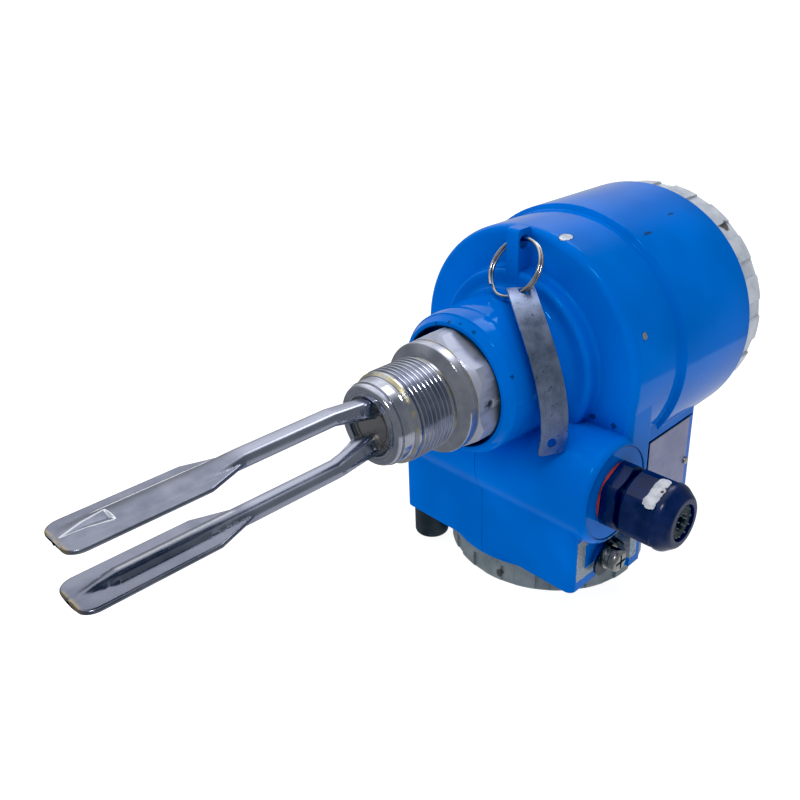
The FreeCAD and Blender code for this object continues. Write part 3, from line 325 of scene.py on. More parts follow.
def soft_box(name, place, size, watts):
    lamp = bpy.data.lights.new(name, "AREA")
    lamp.shape, lamp.size, lamp.size_y, lamp.energy = "RECTANGLE", size[0], size[1], watts
    box = bpy.data.objects.new(name, lamp)
    box.location = place
    box.rotation_euler = (Vector(AIM) - Vector(place)).to_track_quat("-Z", "Y").to_euler()
    bpy.context.scene.collection.objects.link(box)
    return box


lamps = [soft_box(*fill) for fill in FILLS]
for lamp in lamps:
    lamp.visible_glossy = False
lamps.append(soft_box(*SPARK))
lamps[-1].visible_diffuse = False
print("lamps", [lamp.name for lamp in lamps])

# %% [markdown]
# ## Blue enamel
# The casting wears a thick, glossy blue enamel. Seen close it has a faint orange peel, a few
# chips down to bare metal, dirty rubs on the neck's lip, painted shade in the recess round the
# hexagon, a parting line down the box's front and a bare frame where the ground terminal needs
# contact. A picture could be painted for these, but masks made from distances stay sharp at any
# zoom and stay put on the metal. Each mark below is a place in millimetres.

# %% blue enamel
BARE_CHIPS = [((-15.9, -15.2, 142.4), 2.6, (0.75, 1.3, 1.0)),
              ((-12.2, -47.6, 111.9), 1.5, (1.0, 1.0, 1.0))]
SCRATCHES = [((17.5, -28.2, 138.8), 2.6, (0.9, 3.4, 3.4)),
             ((40.5, -24.4, 141.0), 2.4, (1.1, 4.0, 4.0))]
RUBS = [((-60.0, 7.3, 116.6), 0.6), ((-59.5, 1.4, 118.4), 0.7), ((-58.8, -3.2, 118.7), 0.6),
        ((-58.5, -9.3, 117.2), 0.9), ((-56.1, -24.4, 104.2), 0.8), ((-26.4, 0.5, 133.0), 0.8),
        ((-26.4, -1.2, 138.5), 0.7), ((-20.7, -34.0, 78.5), 1.4), ((-20.7, -43.0, 78.0), 1.2)]
FORK_AXIS_Z = 93.8
BOX_SIDE, BOX_FACE, PARTING_TOP = -43.5, -42.5, 74.0
FRAME_OUTER, FRAME_INNER = (-40.3, -9.5, 19.3, 37.0), (-35.2, -14.8, 23.2, 33.6)
GLAND_AXIS, SPOT_FACE, SPOT_FACE_Y = (-27.0, 55.6), 18.1, -49.2
RECESS_R, RECESS_X = 23.35, -45.0


def blue_enamel():
    f = Finish("blue_enamel", {"Specular IOR Level": 0.22, "Specular Tint": (0.16, 0.55, 1.0, 1.0)})
    broad = f.noise(45.0, detail=2.0)
    colour = f.mix(f.rise(broad, 0.35, 0.65), rgb(0, 96, 192), rgb(0, 106, 210))
    speck = f.rise(f.noise(0.7, detail=2.0), 0.74, 0.80)
    colour = f.mix(f.times(speck, 0.35), colour, rgb(0, 60, 130))

    x, y, z = f.axis("X"), f.axis("Y"), f.axis("Z")
    wander = f.times(f.less(f.noise(3.0), 0.5), 1.2)
    outer, inner = (f.times(f.between(f.add(x, wander), left, right, 0.15),
                            f.between(f.add(z, wander), low, high, 0.15))
                    for left, right, low, high in (FRAME_OUTER, FRAME_INNER))
    frame_mask = f.times(outer, f.less(1.0, inner), f.rise(y, BOX_SIDE, BOX_SIDE - 0.3))
    chips = f.most([f.spot(c, r, 0.3, s) for c, r, s in BARE_CHIPS])
    chip_rims = f.most([f.spot(c, r * 1.22, 0.3, s) for c, r, s in BARE_CHIPS])
    scratches = f.most([f.spot(c, r, 0.8, s) for c, r, s in SCRATCHES])
    rubs = f.most([f.spot(c, r, 0.9) for c, r in RUBS])

    parting = f.times(f.between(y, -0.12, 0.12, 0.10), f.rise(x, BOX_FACE, BOX_FACE - 0.4),
                      f.rise(z, PARTING_TOP, PARTING_TOP - 4.0))
    # Painted shade: a thin dark line round the gland's spot face, over a small sunk bump. The parting
    # line mixed in with it is a dark joint.
    ring = f.maths("ABSOLUTE", f.less(f.round_the_axis("Y", *GLAND_AXIS), SPOT_FACE))
    ring = f.times(f.rise(ring, 0.30, 0.12), f.rise(y, SPOT_FACE_Y, SPOT_FACE_Y - 0.2))
    colour = f.mix(f.times(f.most([parting, ring]), 0.75), colour, rgb(0, 40, 110))
    colour = f.mix(f.times(f.most([scratches, rubs]), 0.75), colour, rgb(18, 40, 70))
    # Painted shade: the recess round the hexagon is darkened almost to black.
    recess_shade = f.rise(f.round_the_axis("X", 0.0, FORK_AXIS_Z), RECESS_R, RECESS_R - 0.4)
    recess_shade = f.times(recess_shade, f.rise(x, RECESS_X, RECESS_X - 1.0))
    colour = f.mix(f.times(recess_shade, 0.9), colour, rgb(2, 10, 34))
    colour = f.mix(f.times(chip_rims, 0.8), colour, rgb(0, 50, 110))
    bare = f.most([frame_mask, chips])
    grain = f.noise(0.9, detail=4.0)
    metal_colour = f.mix(f.rise(grain, 0.35, 0.65), rgb(168, 172, 178), rgb(206, 207, 208))
    colour = f.mix(bare, colour, metal_colour)

    roughness = f.level(bare, f.level(f.rise(f.noise(14.0), 0.4, 0.7), 0.07, 0.12), 0.42)
    roughness = f.level(f.most([rubs, scratches]), roughness, 0.5)
    peel = f.times(f.noise(2.4, detail=1.0), 0.25)
    sunk = f.add(f.times(chips, -1.0), f.times(frame_mask, f.add(f.times(grain, 0.12), -0.8)),
                 f.times(parting, -0.4), f.times(ring, -0.8))
    normal = f.relief(f.add(peel, sunk), 0.06, edge=0.35)
    return f.done(colour, roughness, normal, f.times(bare, 0.85))


FINISHES["blue_paint"] = blue_enamel()
print("blue enamel with", len(BARE_CHIPS), "chips and", len(RUBS), "rubs")

# %% [markdown]
# ## Turned steel
# The connection is turned stainless steel: the tool left fine rings round the fork axis, so its
# noise reads only the length and the distance from that axis. Yellow stains sit in its grooves.
# The hexagon's flats are duller and bluer than the rest, with darker blue streaks painted on as
# reflections of the blue casting.

# %% turned steel
HEX_FRONT = -68.5
GROOVES = [(-93.3, -91.9), (-76.6, -75.7), (-69.4, HEX_FRONT)]
THREAD, THREAD_DEEP = (-91.0, -76.2), 15.9
COLLAR, COLLAR_R = (-71.9, HEX_FRONT), 19.8


def turned_steel():
    f = Finish("turned_steel")
    radius = f.round_the_axis("X", 0.0, FORK_AXIS_Z)
    rings = f.node("ShaderNodeCombineXYZ")
    f.feed(rings.inputs[0], f.axis("X"))
    f.feed(rings.inputs[1], radius)
    lines = f.noise(0.35, detail=3.0, at=rings.outputs[0])
    cloud = f.noise(7.0, detail=4.0)
    shade = f.rise(f.add(f.times(lines, 0.4), f.times(cloud, 0.6)), 0.35, 0.65)
    colour = f.mix(shade, rgb(172, 176, 192), rgb(204, 206, 218))
    stain = f.most([f.between(f.axis("X"), low, high, 0.3) for low, high in GROOVES])
    stain = f.times(stain, f.rise(f.noise(5.0, detail=3.0), 0.40, 0.60), 0.8)
    colour = f.mix(stain, colour, rgb(226, 214, 160))
    # Painted shade: the thread's roots are darkened.
    thread_root_shade = f.rise(radius, THREAD_DEEP, THREAD_DEEP - 0.7)
    thread_root_shade = f.times(thread_root_shade, f.between(f.axis("X"), *THREAD, 0.2))
    colour = f.mix(f.times(thread_root_shade, 0.35), colour, rgb(120, 114, 98))
    scored = f.rise(f.noise(1.3, detail=1.0, stretch=(0.10, 1.0, 1.0)), 0.70, 0.75)
    scored = f.times(scored, f.rise(radius, COLLAR_R, COLLAR_R + 0.5))
    colour = f.mix(f.times(scored, 0.3), colour, rgb(110, 114, 128))
    roughness = f.level(f.rise(f.noise(3.0), 0.35, 0.7), 0.11, 0.18)
    roughness = f.level(stain, roughness, 0.34)
    flats = f.rise(f.axis("X"), HEX_FRONT, HEX_FRONT + 0.2)
    # Painted reflection: darker blue streaks on the hexagon's flats.
    flat_reflection_streak = f.rise(f.noise(4.0, detail=2.0, stretch=(0.3, 1.0, 1.0)), 0.52, 0.66)
    flat_colour = f.mix(f.times(flat_reflection_streak, 0.45), rgb(170, 175, 194), rgb(118, 128, 150))
    colour = f.mix(f.times(flats, 0.85), colour, flat_colour)
    roughness = f.level(flats, roughness, 0.42)
    roughness = f.level(f.between(f.axis("X"), *COLLAR, 0.2), roughness, 0.34)
    height = f.add(f.times(lines, 0.6), f.times(scored, -0.4))
    return f.done(colour, roughness, f.relief(height, 0.012, edge=0.08), f.level(flats, 1.0, 0.6))


FINISHES["turned_steel"] = turned_steel()
print("turned steel with", len(GROOVES), "stained grooves")

# %% [markdown]
# ## Fork steel
# The fork is electropolished, so it is soft and bluish, with faint lines along its length. Thin
# highlights are painted on its edges in near white: round the pressed arrow, along one flank of
# the outer ridge and on the inner rib. The fork stands a little turned about its axis, so those
# masks count across the turned tines.

# %% fork steel
TIP_X, ROOT_X, ARMS = -204.4, -100.2, (-153.0, -146.0)
ARROW_TIP_X, ARROW_X, ARROW_HALF = -202.8, -189.4, 3.4
FORK_TURN = math.radians(-3.0)
OUTER_FACE = (8.5, 8.9)
FLANK_Y, FLANK_X = (4.7, 5.15), (-192.0, -156.0)
CREST_Y, CREST_X = (-0.4, 0.5), (-190.5, -154.0)


# Mask of the thin highlights painted in near white on the fork's edges.
def painted_highlight_lines(f):
    x, above = f.axis("X"), f.less(f.axis("Z"), FORK_AXIS_Z)
    across = f.less(f.axis("Y"), f.times(above, -math.sin(FORK_TURN)))
    away = f.maths("ABSOLUTE", across)
    outside = f.rise(f.maths("ABSOLUTE", above), *OUTER_FACE)
    half = f.times(f.less(x, ARROW_TIP_X), ARROW_HALF / (ARROW_X - ARROW_TIP_X))
    sides = f.times(f.rise(f.maths("ABSOLUTE", f.less(away, half)), 0.45, 0.15),
                    f.between(x, ARROW_TIP_X, ARROW_X, 0.2))
    tail = f.times(f.between(x, ARROW_X - 0.1, ARROW_X + 0.5, 0.1),
                   f.rise(away, ARROW_HALF + 0.2, ARROW_HALF - 0.1))
    flank = f.times(f.between(across, *FLANK_Y, 0.15), f.between(x, *FLANK_X, 2.0))
    crest = f.times(f.between(across, *CREST_Y, 0.3), f.between(x, *CREST_X, 1.5),
                    f.less(1.0, outside))
    return f.most([f.times(f.most([f.times(sides, 0.7), tail, flank]), outside), crest])


def fork_steel():
    f = Finish("fork_steel")
    cloud = f.noise(9.0, detail=3.0)
    drawn = f.noise(0.5, detail=2.0, stretch=(0.05, 1.0, 1.0))
    colour = f.mix(f.rise(cloud, 0.3, 0.7), rgb(122, 125, 142), rgb(146, 149, 165))
    warm = f.times(f.rise(f.axis("X"), TIP_X + 1.6, TIP_X + 0.2), f.rise(f.noise(2.5), 0.35, 0.6))
    colour = f.mix(f.times(warm, 0.7), colour, rgb(200, 180, 125))
    speck = f.rise(f.noise(0.9, detail=1.0), 0.72, 0.78)
    colour = f.mix(f.times(speck, 0.3), colour, rgb(95, 98, 122))
    roughness = f.level(f.rise(cloud, 0.3, 0.7), 0.20, 0.30)
    disc = f.rise(f.axis("X"), ROOT_X - 0.4, ROOT_X)
    colour = f.mix(disc, colour, rgb(176, 171, 168))
    # Painted light: the bars get a lighter colour for the light their round sides catch.
    arms_painted_light = f.times(f.rise(f.axis("X"), *ARMS), f.less(1.0, disc))
    colour = f.mix(arms_painted_light, colour, f.mix(cloud, rgb(160, 164, 182), rgb(186, 190, 206)))
    highlight_share = painted_highlight_lines(f)
    # Painted highlights: near-white lines round the arrow, on one ridge flank and on the inner rib.
    colour = f.mix(highlight_share, colour, rgb(232, 235, 243))
    roughness = f.level(highlight_share, f.level(disc, roughness, 0.45), 0.4)
    height = f.add(f.times(drawn, 0.5), f.times(f.noise(1.3, detail=2.0), 0.6))
    return f.done(colour, roughness, f.relief(height, 0.012, edge=0.3), f.level(highlight_share, 1.0, 0.3))


FINISHES["fork_steel"] = fork_steel()
print("fork steel from", TIP_X, "to", ROOT_X)

# %% [markdown]
# ## Plated steel, ring, tag and nameplate
# Washers and screws are plated, the tag is dull and stained by handling, and the nameplate is
# brushed along its length. One finish could serve them all, but the direction of the lines and
# the specks tell them apart, so one function takes these as settings. The nameplate's far end is
# painted over.

# %% plated, plate, ring and tag steel
def drawn_steel(name, dark, light, along, rough, speckle=0.0, speck_size=1.2, bump=0.01):
    """Steel with lines along one direction, clouds, and as many dark specks as asked."""
    f = Finish(name, {"Metallic": 1.0})
    cloud = f.noise(5.0, detail=4.0)
    lines = f.noise(0.4, detail=3.0, stretch=along)
    colour = f.mix(f.rise(f.add(f.times(cloud, 0.7), f.times(lines, 0.3)), 0.35, 0.65), dark, light)
    speck = f.rise(f.noise(speck_size, detail=4.0, rough=0.65), 0.60, 0.70)
    colour = f.mix(f.times(speck, speckle), colour, rgb(52, 56, 70))
    roughness = f.level(f.rise(cloud, 0.3, 0.7), rough, rough + 0.14)
    roughness = f.level(f.times(speck, speckle), roughness, 0.6)
    height = f.add(f.times(lines, 0.6), f.times(speck, -0.5 * speckle), f.times(cloud, 0.2))
    return f.done(colour, roughness, f.relief(height, bump, edge=0.12))


ALONG_X, ALONG_Z, EVEN = (0.04, 1.0, 1.0), (1.0, 1.0, 0.06), (1.0, 1.0, 1.0)
STEELS = [("plated_steel", rgb(150, 150, 150), rgb(205, 204, 200), EVEN, 0.20, 0.35),
          ("clamp_steel", rgb(58, 60, 70), rgb(96, 98, 106), EVEN, 0.24, 0.5),
          ("ring_steel", rgb(170, 165, 160), rgb(215, 212, 208), EVEN, 0.16, 0.10),
          ("tag_steel", rgb(128, 140, 170), rgb(160, 170, 198), ALONG_Z, 0.34, 0.6, 2.2, 0.02)]
FINISHES.update({steel[0]: drawn_steel(*steel) for steel in STEELS})
PAINTED_END = 2.6


def plate_steel():
    """Bare brushed plate with a thin dark line inside its edge and paint over its far end."""
    f = Finish("plate_steel")
    lines = f.noise(0.35, detail=3.0, stretch=ALONG_X)
    cloud = f.noise(12.0, detail=3.0)
    shade = f.rise(f.add(f.times(lines, 0.4), f.times(cloud, 0.6)), 0.35, 0.65)
    colour = f.mix(shade, rgb(158, 160, 196), rgb(182, 184, 214))
    low, high = ([1000.0 * v for v in corner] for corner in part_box("nameplate"))
    gaps = [f.less(f.axis(c), low[i]) for i, c in ((0, "X"), (2, "Z"))]
    gaps += [f.less(high[i], f.axis(c)) for i, c in ((0, "X"), (2, "Z"))]
    inset = f.most([f.rise(gap, 0.55, 0.30) for gap in gaps])
    colour = f.mix(f.times(inset, 0.8), colour, rgb(30, 34, 52))
    painted = f.rise(f.axis("X"), high[0] - PAINTED_END, high[0] - PAINTED_END + 0.15)
    colour = f.mix(painted, colour, rgb(0, 96, 196))
    bare = f.less(1.0, painted)
    roughness = f.level(painted, f.level(cloud, 0.32, 0.44), 0.12)
    return f.done(colour, roughness, f.relief(f.times(lines, bare), 0.008, edge=0.1), bare)


FINISHES["plate_steel"] = plate_steel()
print("steels", sorted(FINISHES))

# %% [markdown]
# ## Grey covers
# The screw covers are grey enamelled castings, a little chalky, with rust and dirt in a few
# notches. The lower cover stands in its own shade and is darker, so the colour changes with the
# height.

# %% grey covers
COVER_SPLIT = (30.0, 20.0)
RUST, HOLLOW = ((69.6, -32.7, 131.3), 2.6, 0.8), ((-40.9, -7.9, 4.5), 2.2, 0.6)


def grey_enamel():
    f = Finish("grey_enamel", {"Specular IOR Level": 0.45})
    cloud = f.noise(9.0, detail=4.0)
    colour = f.mix(f.rise(cloud, 0.3, 0.7), rgb(168, 176, 188), rgb(200, 206, 216))
    below = f.mix(f.rise(cloud, 0.3, 0.7), rgb(100, 110, 116), rgb(124, 133, 139))
    colour = f.mix(f.rise(f.axis("Z"), *COVER_SPLIT), colour, below)
    grime = f.rise(f.noise(3.0, detail=5.0, rough=0.65), 0.60, 0.72)
    colour = f.mix(f.times(grime, 0.35), colour, rgb(96, 100, 100))
    dirty = f.most([f.spot(*RUST), f.spot(*HOLLOW)])
    colour = f.mix(f.times(dirty, 0.85), colour, rgb(58, 46, 34))
    roughness = f.level(f.rise(cloud, 0.3, 0.7), 0.26, 0.40)
    height = f.add(f.times(f.noise(1.2, detail=2.0), 0.5), f.times(dirty, -0.6))
    return f.done(colour, f.level(grime, roughness, 0.55), f.relief(height, 0.03, edge=0.35))


FINISHES["grey_cover"] = grey_enamel()
print("grey covers")

# %% [markdown]
# ## Plastics and rubber
# The gland is glossy navy-black nylon, the seal under it red fibre, the vent cap matt black.
# Moulded pieces show a fine even grain in their gloss, which a small bump gives, and some dust.

# %% moulded plastics and rubber
def moulded(name, dark, light, rough, grain, bump, specular=0.5):
    """Plastic or rubber with clouds, a fine grain and some dust."""
    f = Finish(name, {"Specular IOR Level": specular})
    cloud = f.noise(6.0, detail=3.0)
    colour = f.mix(f.rise(cloud, 0.3, 0.7), dark, light)
    dust = f.rise(f.noise(1.6, detail=5.0, rough=0.7), 0.64, 0.74)
    colour = f.mix(f.times(dust, 0.12), colour, rgb(150, 152, 160))
    roughness = f.level(f.rise(cloud, 0.3, 0.7), rough, rough + 0.12)
    return f.done(colour, f.level(f.times(dust, 0.6), roughness, 0.6),
                  f.relief(f.noise(grain, detail=2.0), bump, edge=0.25))


PLASTICS = [("gland_plastic", rgb(12, 18, 58), rgb(22, 30, 76), 0.14, 0.8, 0.02, 0.36),
            ("black_plastic", rgb(26, 28, 32), rgb(40, 42, 48), 0.42, 0.6, 0.02),
            ("module_plastic", rgb(190, 188, 178), rgb(208, 206, 198), 0.38, 0.7, 0.02),
            ("seal_rubber", rgb(20, 20, 22), rgb(34, 34, 36), 0.55, 0.5, 0.02, 0.3),
            ("red_rubber", rgb(150, 44, 40), rgb(176, 60, 52), 0.50, 0.5, 0.02, 0.3),
            ("insert_rubber", rgb(22, 24, 30), rgb(48, 50, 54), 0.45, 0.5, 0.03, 0.35),
            ("ceramic", rgb(226, 222, 210), rgb(238, 236, 228), 0.30, 0.9, 0.01),
            ("finger_plastic", rgb(48, 54, 60), rgb(128, 136, 140), 0.40, 0.6, 0.03)]
FINISHES.update({plastic[0]: moulded(*plastic) for plastic in PLASTICS})
print("plastics and rubber made;", len(FINISHES), "finishes in all")

# %% [markdown]
# ## Dressing the solids
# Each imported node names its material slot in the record. Giving every node the finish of its slot
# by that name means no piece is forgotten, and the mesh itself stays untouched. The ground clamp
# is duller than the other plated pieces, so it gets a finish of its own.

# %% dress every node
OWN_FINISH = {"ground_clamp": "clamp_steel"}
for part in frame["record"]["subparts"]:
    node = frame["nodes"][part["node"]]
    node.material_slots[0].material = FINISHES[OWN_FINISH.get(part["node"], part["material_slot"])]

# %% [markdown]
# ## A torn paper remnant on the gland nut
# The remains of an old paper sticker are still on the nut's upper flat, with a torn edge and a
# corner that peels off. It is made as a real sheet: an outline in the flat's own width and
# length, filled, cut into narrow strips so that it can bend over the turned corner, and given its
# thickness by Solidify.

# %% paper remnant
NUT_FLAT, NUT_CORNER = 12.0, 13.08
FLAT_ANGLE = math.radians(114.2)
PAPER_THICK, PAPER_LIFT = 0.00009, 0.05
CURL_FROM, CORNER_CURL, EDGE_CURL = (-5.4, -70.0), 0.5, 0.12
STRIPS, STRIP_WIDTH = 14, 0.5
TORN = [(-6.6, -70.6), (-7.0, -68.4), (-6.2, -66.4), (-4.6, -65.7), (-3.0, -66.1), (-1.6, -66.2),
        (0.4, -66.1), (2.0, -66.0), (3.6, -66.2), (5.0, -66.5), (6.4, -67.2), (6.9, -68.8),
        (6.5, -70.0), (5.4, -70.7), (3.0, -70.6), (1.2, -70.75), (-1.0, -70.5), (-2.6, -70.75),
        (-4.2, -70.3), (-5.2, -70.8)]
SCUFFS = [((-31.2, -69.9, 67.0), 0.7, 0.9), ((-29.6, -70.4, 67.8), 0.5, 0.9)]


def on_the_nut(across, along, lift):
    """Point on the nut's flat, or past its edge on the turned corner, in metres."""
    half = math.sqrt(NUT_CORNER ** 2 - NUT_FLAT ** 2)
    if abs(across) <= half:
        radius, angle = math.hypot(NUT_FLAT + lift, across), math.atan2(across, NUT_FLAT + lift)
    else:
        radius = NUT_CORNER + lift
        angle = math.atan2(half, NUT_FLAT) + (abs(across) - half) / NUT_CORNER
        angle = math.copysign(angle, across)
    angle = FLAT_ANGLE - angle
    x, z = GLAND_AXIS[0] + radius * math.cos(angle), GLAND_AXIS[1] + radius * math.sin(angle)
    return Vector((x, along, z)) / 1000.0


def ragged_outline(outline, seed, steps=6, tear=0.14):
    """The same outline with short uneven steps, as torn paper has."""
    dice = random.Random(seed)
    points = []
    for (x0, y0), (x1, y1) in zip(outline, outline[1:] + outline[:1]):
        for k in range(steps):
            t = k / steps
            points.append((x0 + (x1 - x0) * t + dice.uniform(-tear, tear),
                           y0 + (y1 - y0) * t + dice.uniform(-tear, tear)))
    return points


def curl(x, y):
    """How far the paper stands off the nut: more at its torn corner and along its outer edge."""
    corner, edge = max(0.0, CURL_FROM[0] - x), max(0.0, CURL_FROM[1] - y)
    return PAPER_LIFT + CORNER_CURL * corner ** 1.5 + EDGE_CURL * edge


def paper_remnant():
    edge = ragged_outline(TORN, seed=7)
    sheet = bmesh.new()
    rim = [sheet.verts.new((x, y, 0.0)) for x, y in edge]
    sheet.faces.new(rim)
    bmesh.ops.triangulate(sheet, faces=sheet.faces[:])
    for cut in range(-STRIPS, STRIPS + 1):
        bmesh.ops.bisect_plane(sheet, geom=sheet.verts[:] + sheet.edges[:] + sheet.faces[:],
                               plane_co=(cut * STRIP_WIDTH, 0, 0), plane_no=(1, 0, 0))
    for vert in sheet.verts:
        x, y = vert.co.x, vert.co.y
        vert.co = on_the_nut(x, y, curl(x, y))
    bmesh.ops.remove_doubles(sheet, verts=sheet.verts[:], dist=1e-6)
    bmesh.ops.recalc_face_normals(sheet, faces=sheet.faces[:])
    mesh = bpy.data.meshes.new("paper_remnant")
    sheet.to_mesh(mesh)
    sheet.free()
    piece = bpy.data.objects.new("paper_remnant", mesh)
    bpy.context.scene.collection.objects.link(piece)
    solid = piece.modifiers.new("thickness", "SOLIDIFY")
    solid.thickness = PAPER_THICK
    solid.offset = 0.0
    return piece


def old_paper():
    f = Finish("old_paper", {"Specular IOR Level": 0.35})
    cloud = f.noise(2.6, detail=4.0)
    colour = f.mix(f.rise(cloud, 0.3, 0.7), rgb(158, 162, 170), rgb(200, 203, 209))
    brown = f.rise(f.noise(1.3, detail=5.0, rough=0.7), 0.62, 0.72)
    colour = f.mix(f.times(brown, 0.55), colour, rgb(120, 112, 96))
    colour = f.mix(f.most([f.spot(*scuff) for scuff in SCUFFS]), colour, rgb(90, 62, 48))
    normal = f.relief(f.add(cloud, f.times(brown, -0.6)), 0.05)
    return f.done(colour, f.level(cloud, 0.40, 0.62), normal)


remnant = paper_remnant()
remnant.data.materials.append(old_paper())
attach(remnant, "nut")
print("paper remnant", len(remnant.data.polygons), "faces")

# %% [markdown]
# ## Shapes made here: helpers
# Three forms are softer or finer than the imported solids: the forged fork, the turned connection
# and the painted rim of the neck. Each is a skin over rows of points, so one helper lays the skin
# and another turns it into a finished piece with sharp edges only where the metal has them.

# %% skin helpers
def skin(mesh, rows, ring=False):
    """Quads between neighbouring closed rows of points in millimetres; ring joins last to first."""
    made = [[mesh.verts.new(Vector(point) / 1000.0) for point in row] for row in rows]
    for first, second in list(zip(made, made[1:])) + ([(made[-1], made[0])] if ring else []):
        for k in range(len(first)):
            after = (k + 1) % len(first)
            mesh.faces.new((first[k], first[after], second[after], second[k]))
    return made


def finished(name, mesh, sharp):
    """Piece from a bmesh: doubles merged, normals outward, edges over a sharp angle kept crisp."""
    bmesh.ops.remove_doubles(mesh, verts=mesh.verts[:], dist=2e-6)
    bmesh.ops.dissolve_degenerate(mesh, edges=mesh.edges[:], dist=1e-6)
    bmesh.ops.recalc_face_normals(mesh, faces=mesh.faces[:])
    data = bpy.data.meshes.new(name)
    mesh.to_mesh(data)
    mesh.free()
    data.shade_smooth()
    data.set_sharp_from_angle(angle=math.radians(sharp))
    piece = bpy.data.objects.new(name, data)
    bpy.context.scene.collection.objects.link(piece)
    return piece


def keep_as_mesh(piece):
    """Takes what a piece's modifiers make as its own mesh, and removes the modifiers."""
    bpy.context.view_layer.update()
    seen = piece.evaluated_get(bpy.context.evaluated_depsgraph_get())
    old, made = piece.data, bpy.data.meshes.new_from_object(seen)
    piece.modifiers.clear()
    piece.data = made
    bpy.data.meshes.remove(old)


def wheel(profile, steps, reach=None):
    """Rows of points round the fork axis: one row for each (x, radius) of a profile."""
    rows = []
    for x, radius in profile:
        row = []
        for k in range(steps):
            turn = 2.0 * math.pi * k / steps
            r = reach(x, radius, turn) if reach else radius
            row.append((x, -r * math.cos(turn), FORK_AXIS_Z + r * math.sin(turn)))
        rows.append(row)
    return rows


def turned(name, profile, steps, sharp, reach=None):
    """Piece turned round the fork axis from a closed profile."""
    mesh = bmesh.new()
    skin(mesh, wheel(profile, steps, reach), ring=True)
    return finished(name, mesh, sharp)


def arc(centre, radius, start, stop, steps):
    """Points of an arc in the (x, radius) plane, angles in degrees."""
    angles = [math.radians(start + (stop - start) * k / steps) for k in range(steps + 1)]
    return [(centre[0] + radius * math.cos(a), centre[1] + radius * math.sin(a)) for a in angles]


print("skin helpers ready")

# %% [markdown]
# ## The forged fork
# A tine is a thin paddle with half-round edges, drawn in over a shoulder to a rounded bar. A rib
# runs on along its inner side and ends in a point, and a low ridge outside ends in a pressed
# arrow. The section changes all the way, so every station along the tine gets its own loop: a
# plate and a rib, joined by a smooth maximum, which leaves the soft hollow that forging dies
# leave. A few numbers then shape it all.

# %% forged fork
SHOULDER_X, BAR_X, KINK_X, DISC_X = -163.8, -149.0, -115.3, -98.9
TINE_MID, PLATE_HALF, PADDLE_HALF, TIP_CORNER = 9.0, 0.75, 9.5, 5.0
BAR_HALF_W, BAR_HALF_T, RIDGE = 3.65, 2.7, 0.75
RIB_TIP_X, RIB_X, RIB_TIP_HALF, ARROW_DEPTH = -202.4, -190.8, 0.6, 1.3
FOOT_HALF_W, FOOT_IN, FOOT_OUT = 8.5, 2.4, 10.0
DISC_BACK, DISC_R, RIPPLES, AXIS_R = -97.3, 11.3, (10.1, 8.1), 0.02
STUD_R, STUD_ROOT, STUD_END, STUD_CHAMFER = 3.5, -98.0, -75.3, 0.5
RIDGE_RISE, RIDGE_SPREAD = (TIP_X + 1.0, TIP_X + 9.0), 1.6
SOFT, SOFT_RISE, SOFT_FADE = 0.5, (TIP_X + 1.0, TIP_X + 3.0), (BAR_X - 4.0, BAR_X)
RIPPLE_DEEP, RIPPLE_WIDE, RIPPLE_SLANT = 0.5, 1.0, 0.1
STATION = 0.8
NEAR_TIP = (0.0, 0.03, 0.1, 0.2, 0.35, 0.55, 0.75, 1.1, 1.6, 2.2, 3.0, 4.0, 5.0, 6.0)


def share(value, low, high):
    return min(1.0, max(0.0, (value - low) / (high - low)))


def eased(value, low, high):
    t = share(value, low, high)
    return t * t * (3.0 - 2.0 * t)


def soft_most(first, second, width):
    """The larger of two heights, with the edge between them rounded over a width."""
    t = share(first - second, -width, width)
    return second + (first - second) * t + width * t * (1.0 - t)


def swell(across, half, power):
    """Height of a rounded bar, 1 in its middle and 0 at its sides."""
    return max(0.0, 1.0 - min(1.0, abs(across) / half) ** power) ** (1.0 / power)


def half_width(x):
    corner = max(0.0, TIP_CORNER - (x - TIP_X))
    paddle = PADDLE_HALF - TIP_CORNER + math.sqrt(max(0.0, TIP_CORNER ** 2 - corner ** 2))
    drawn = PADDLE_HALF + (BAR_HALF_W - PADDLE_HALF) * share(x, SHOULDER_X, BAR_X)
    if x < KINK_X:
        return min(paddle, drawn)
    return BAR_HALF_W + (FOOT_HALF_W - BAR_HALF_W) * share(x, KINK_X, DISC_X)


def pressed_arrow(x, y):
    """Depth of the arrow: none at its point, deepest at its tail."""
    along = (x - ARROW_TIP_X) / (ARROW_X - ARROW_TIP_X)
    if not 0.0 < along <= 1.0:
        return 0.0
    return ARROW_DEPTH * along * max(0.0, 1.0 - abs(y) / (ARROW_HALF * along))


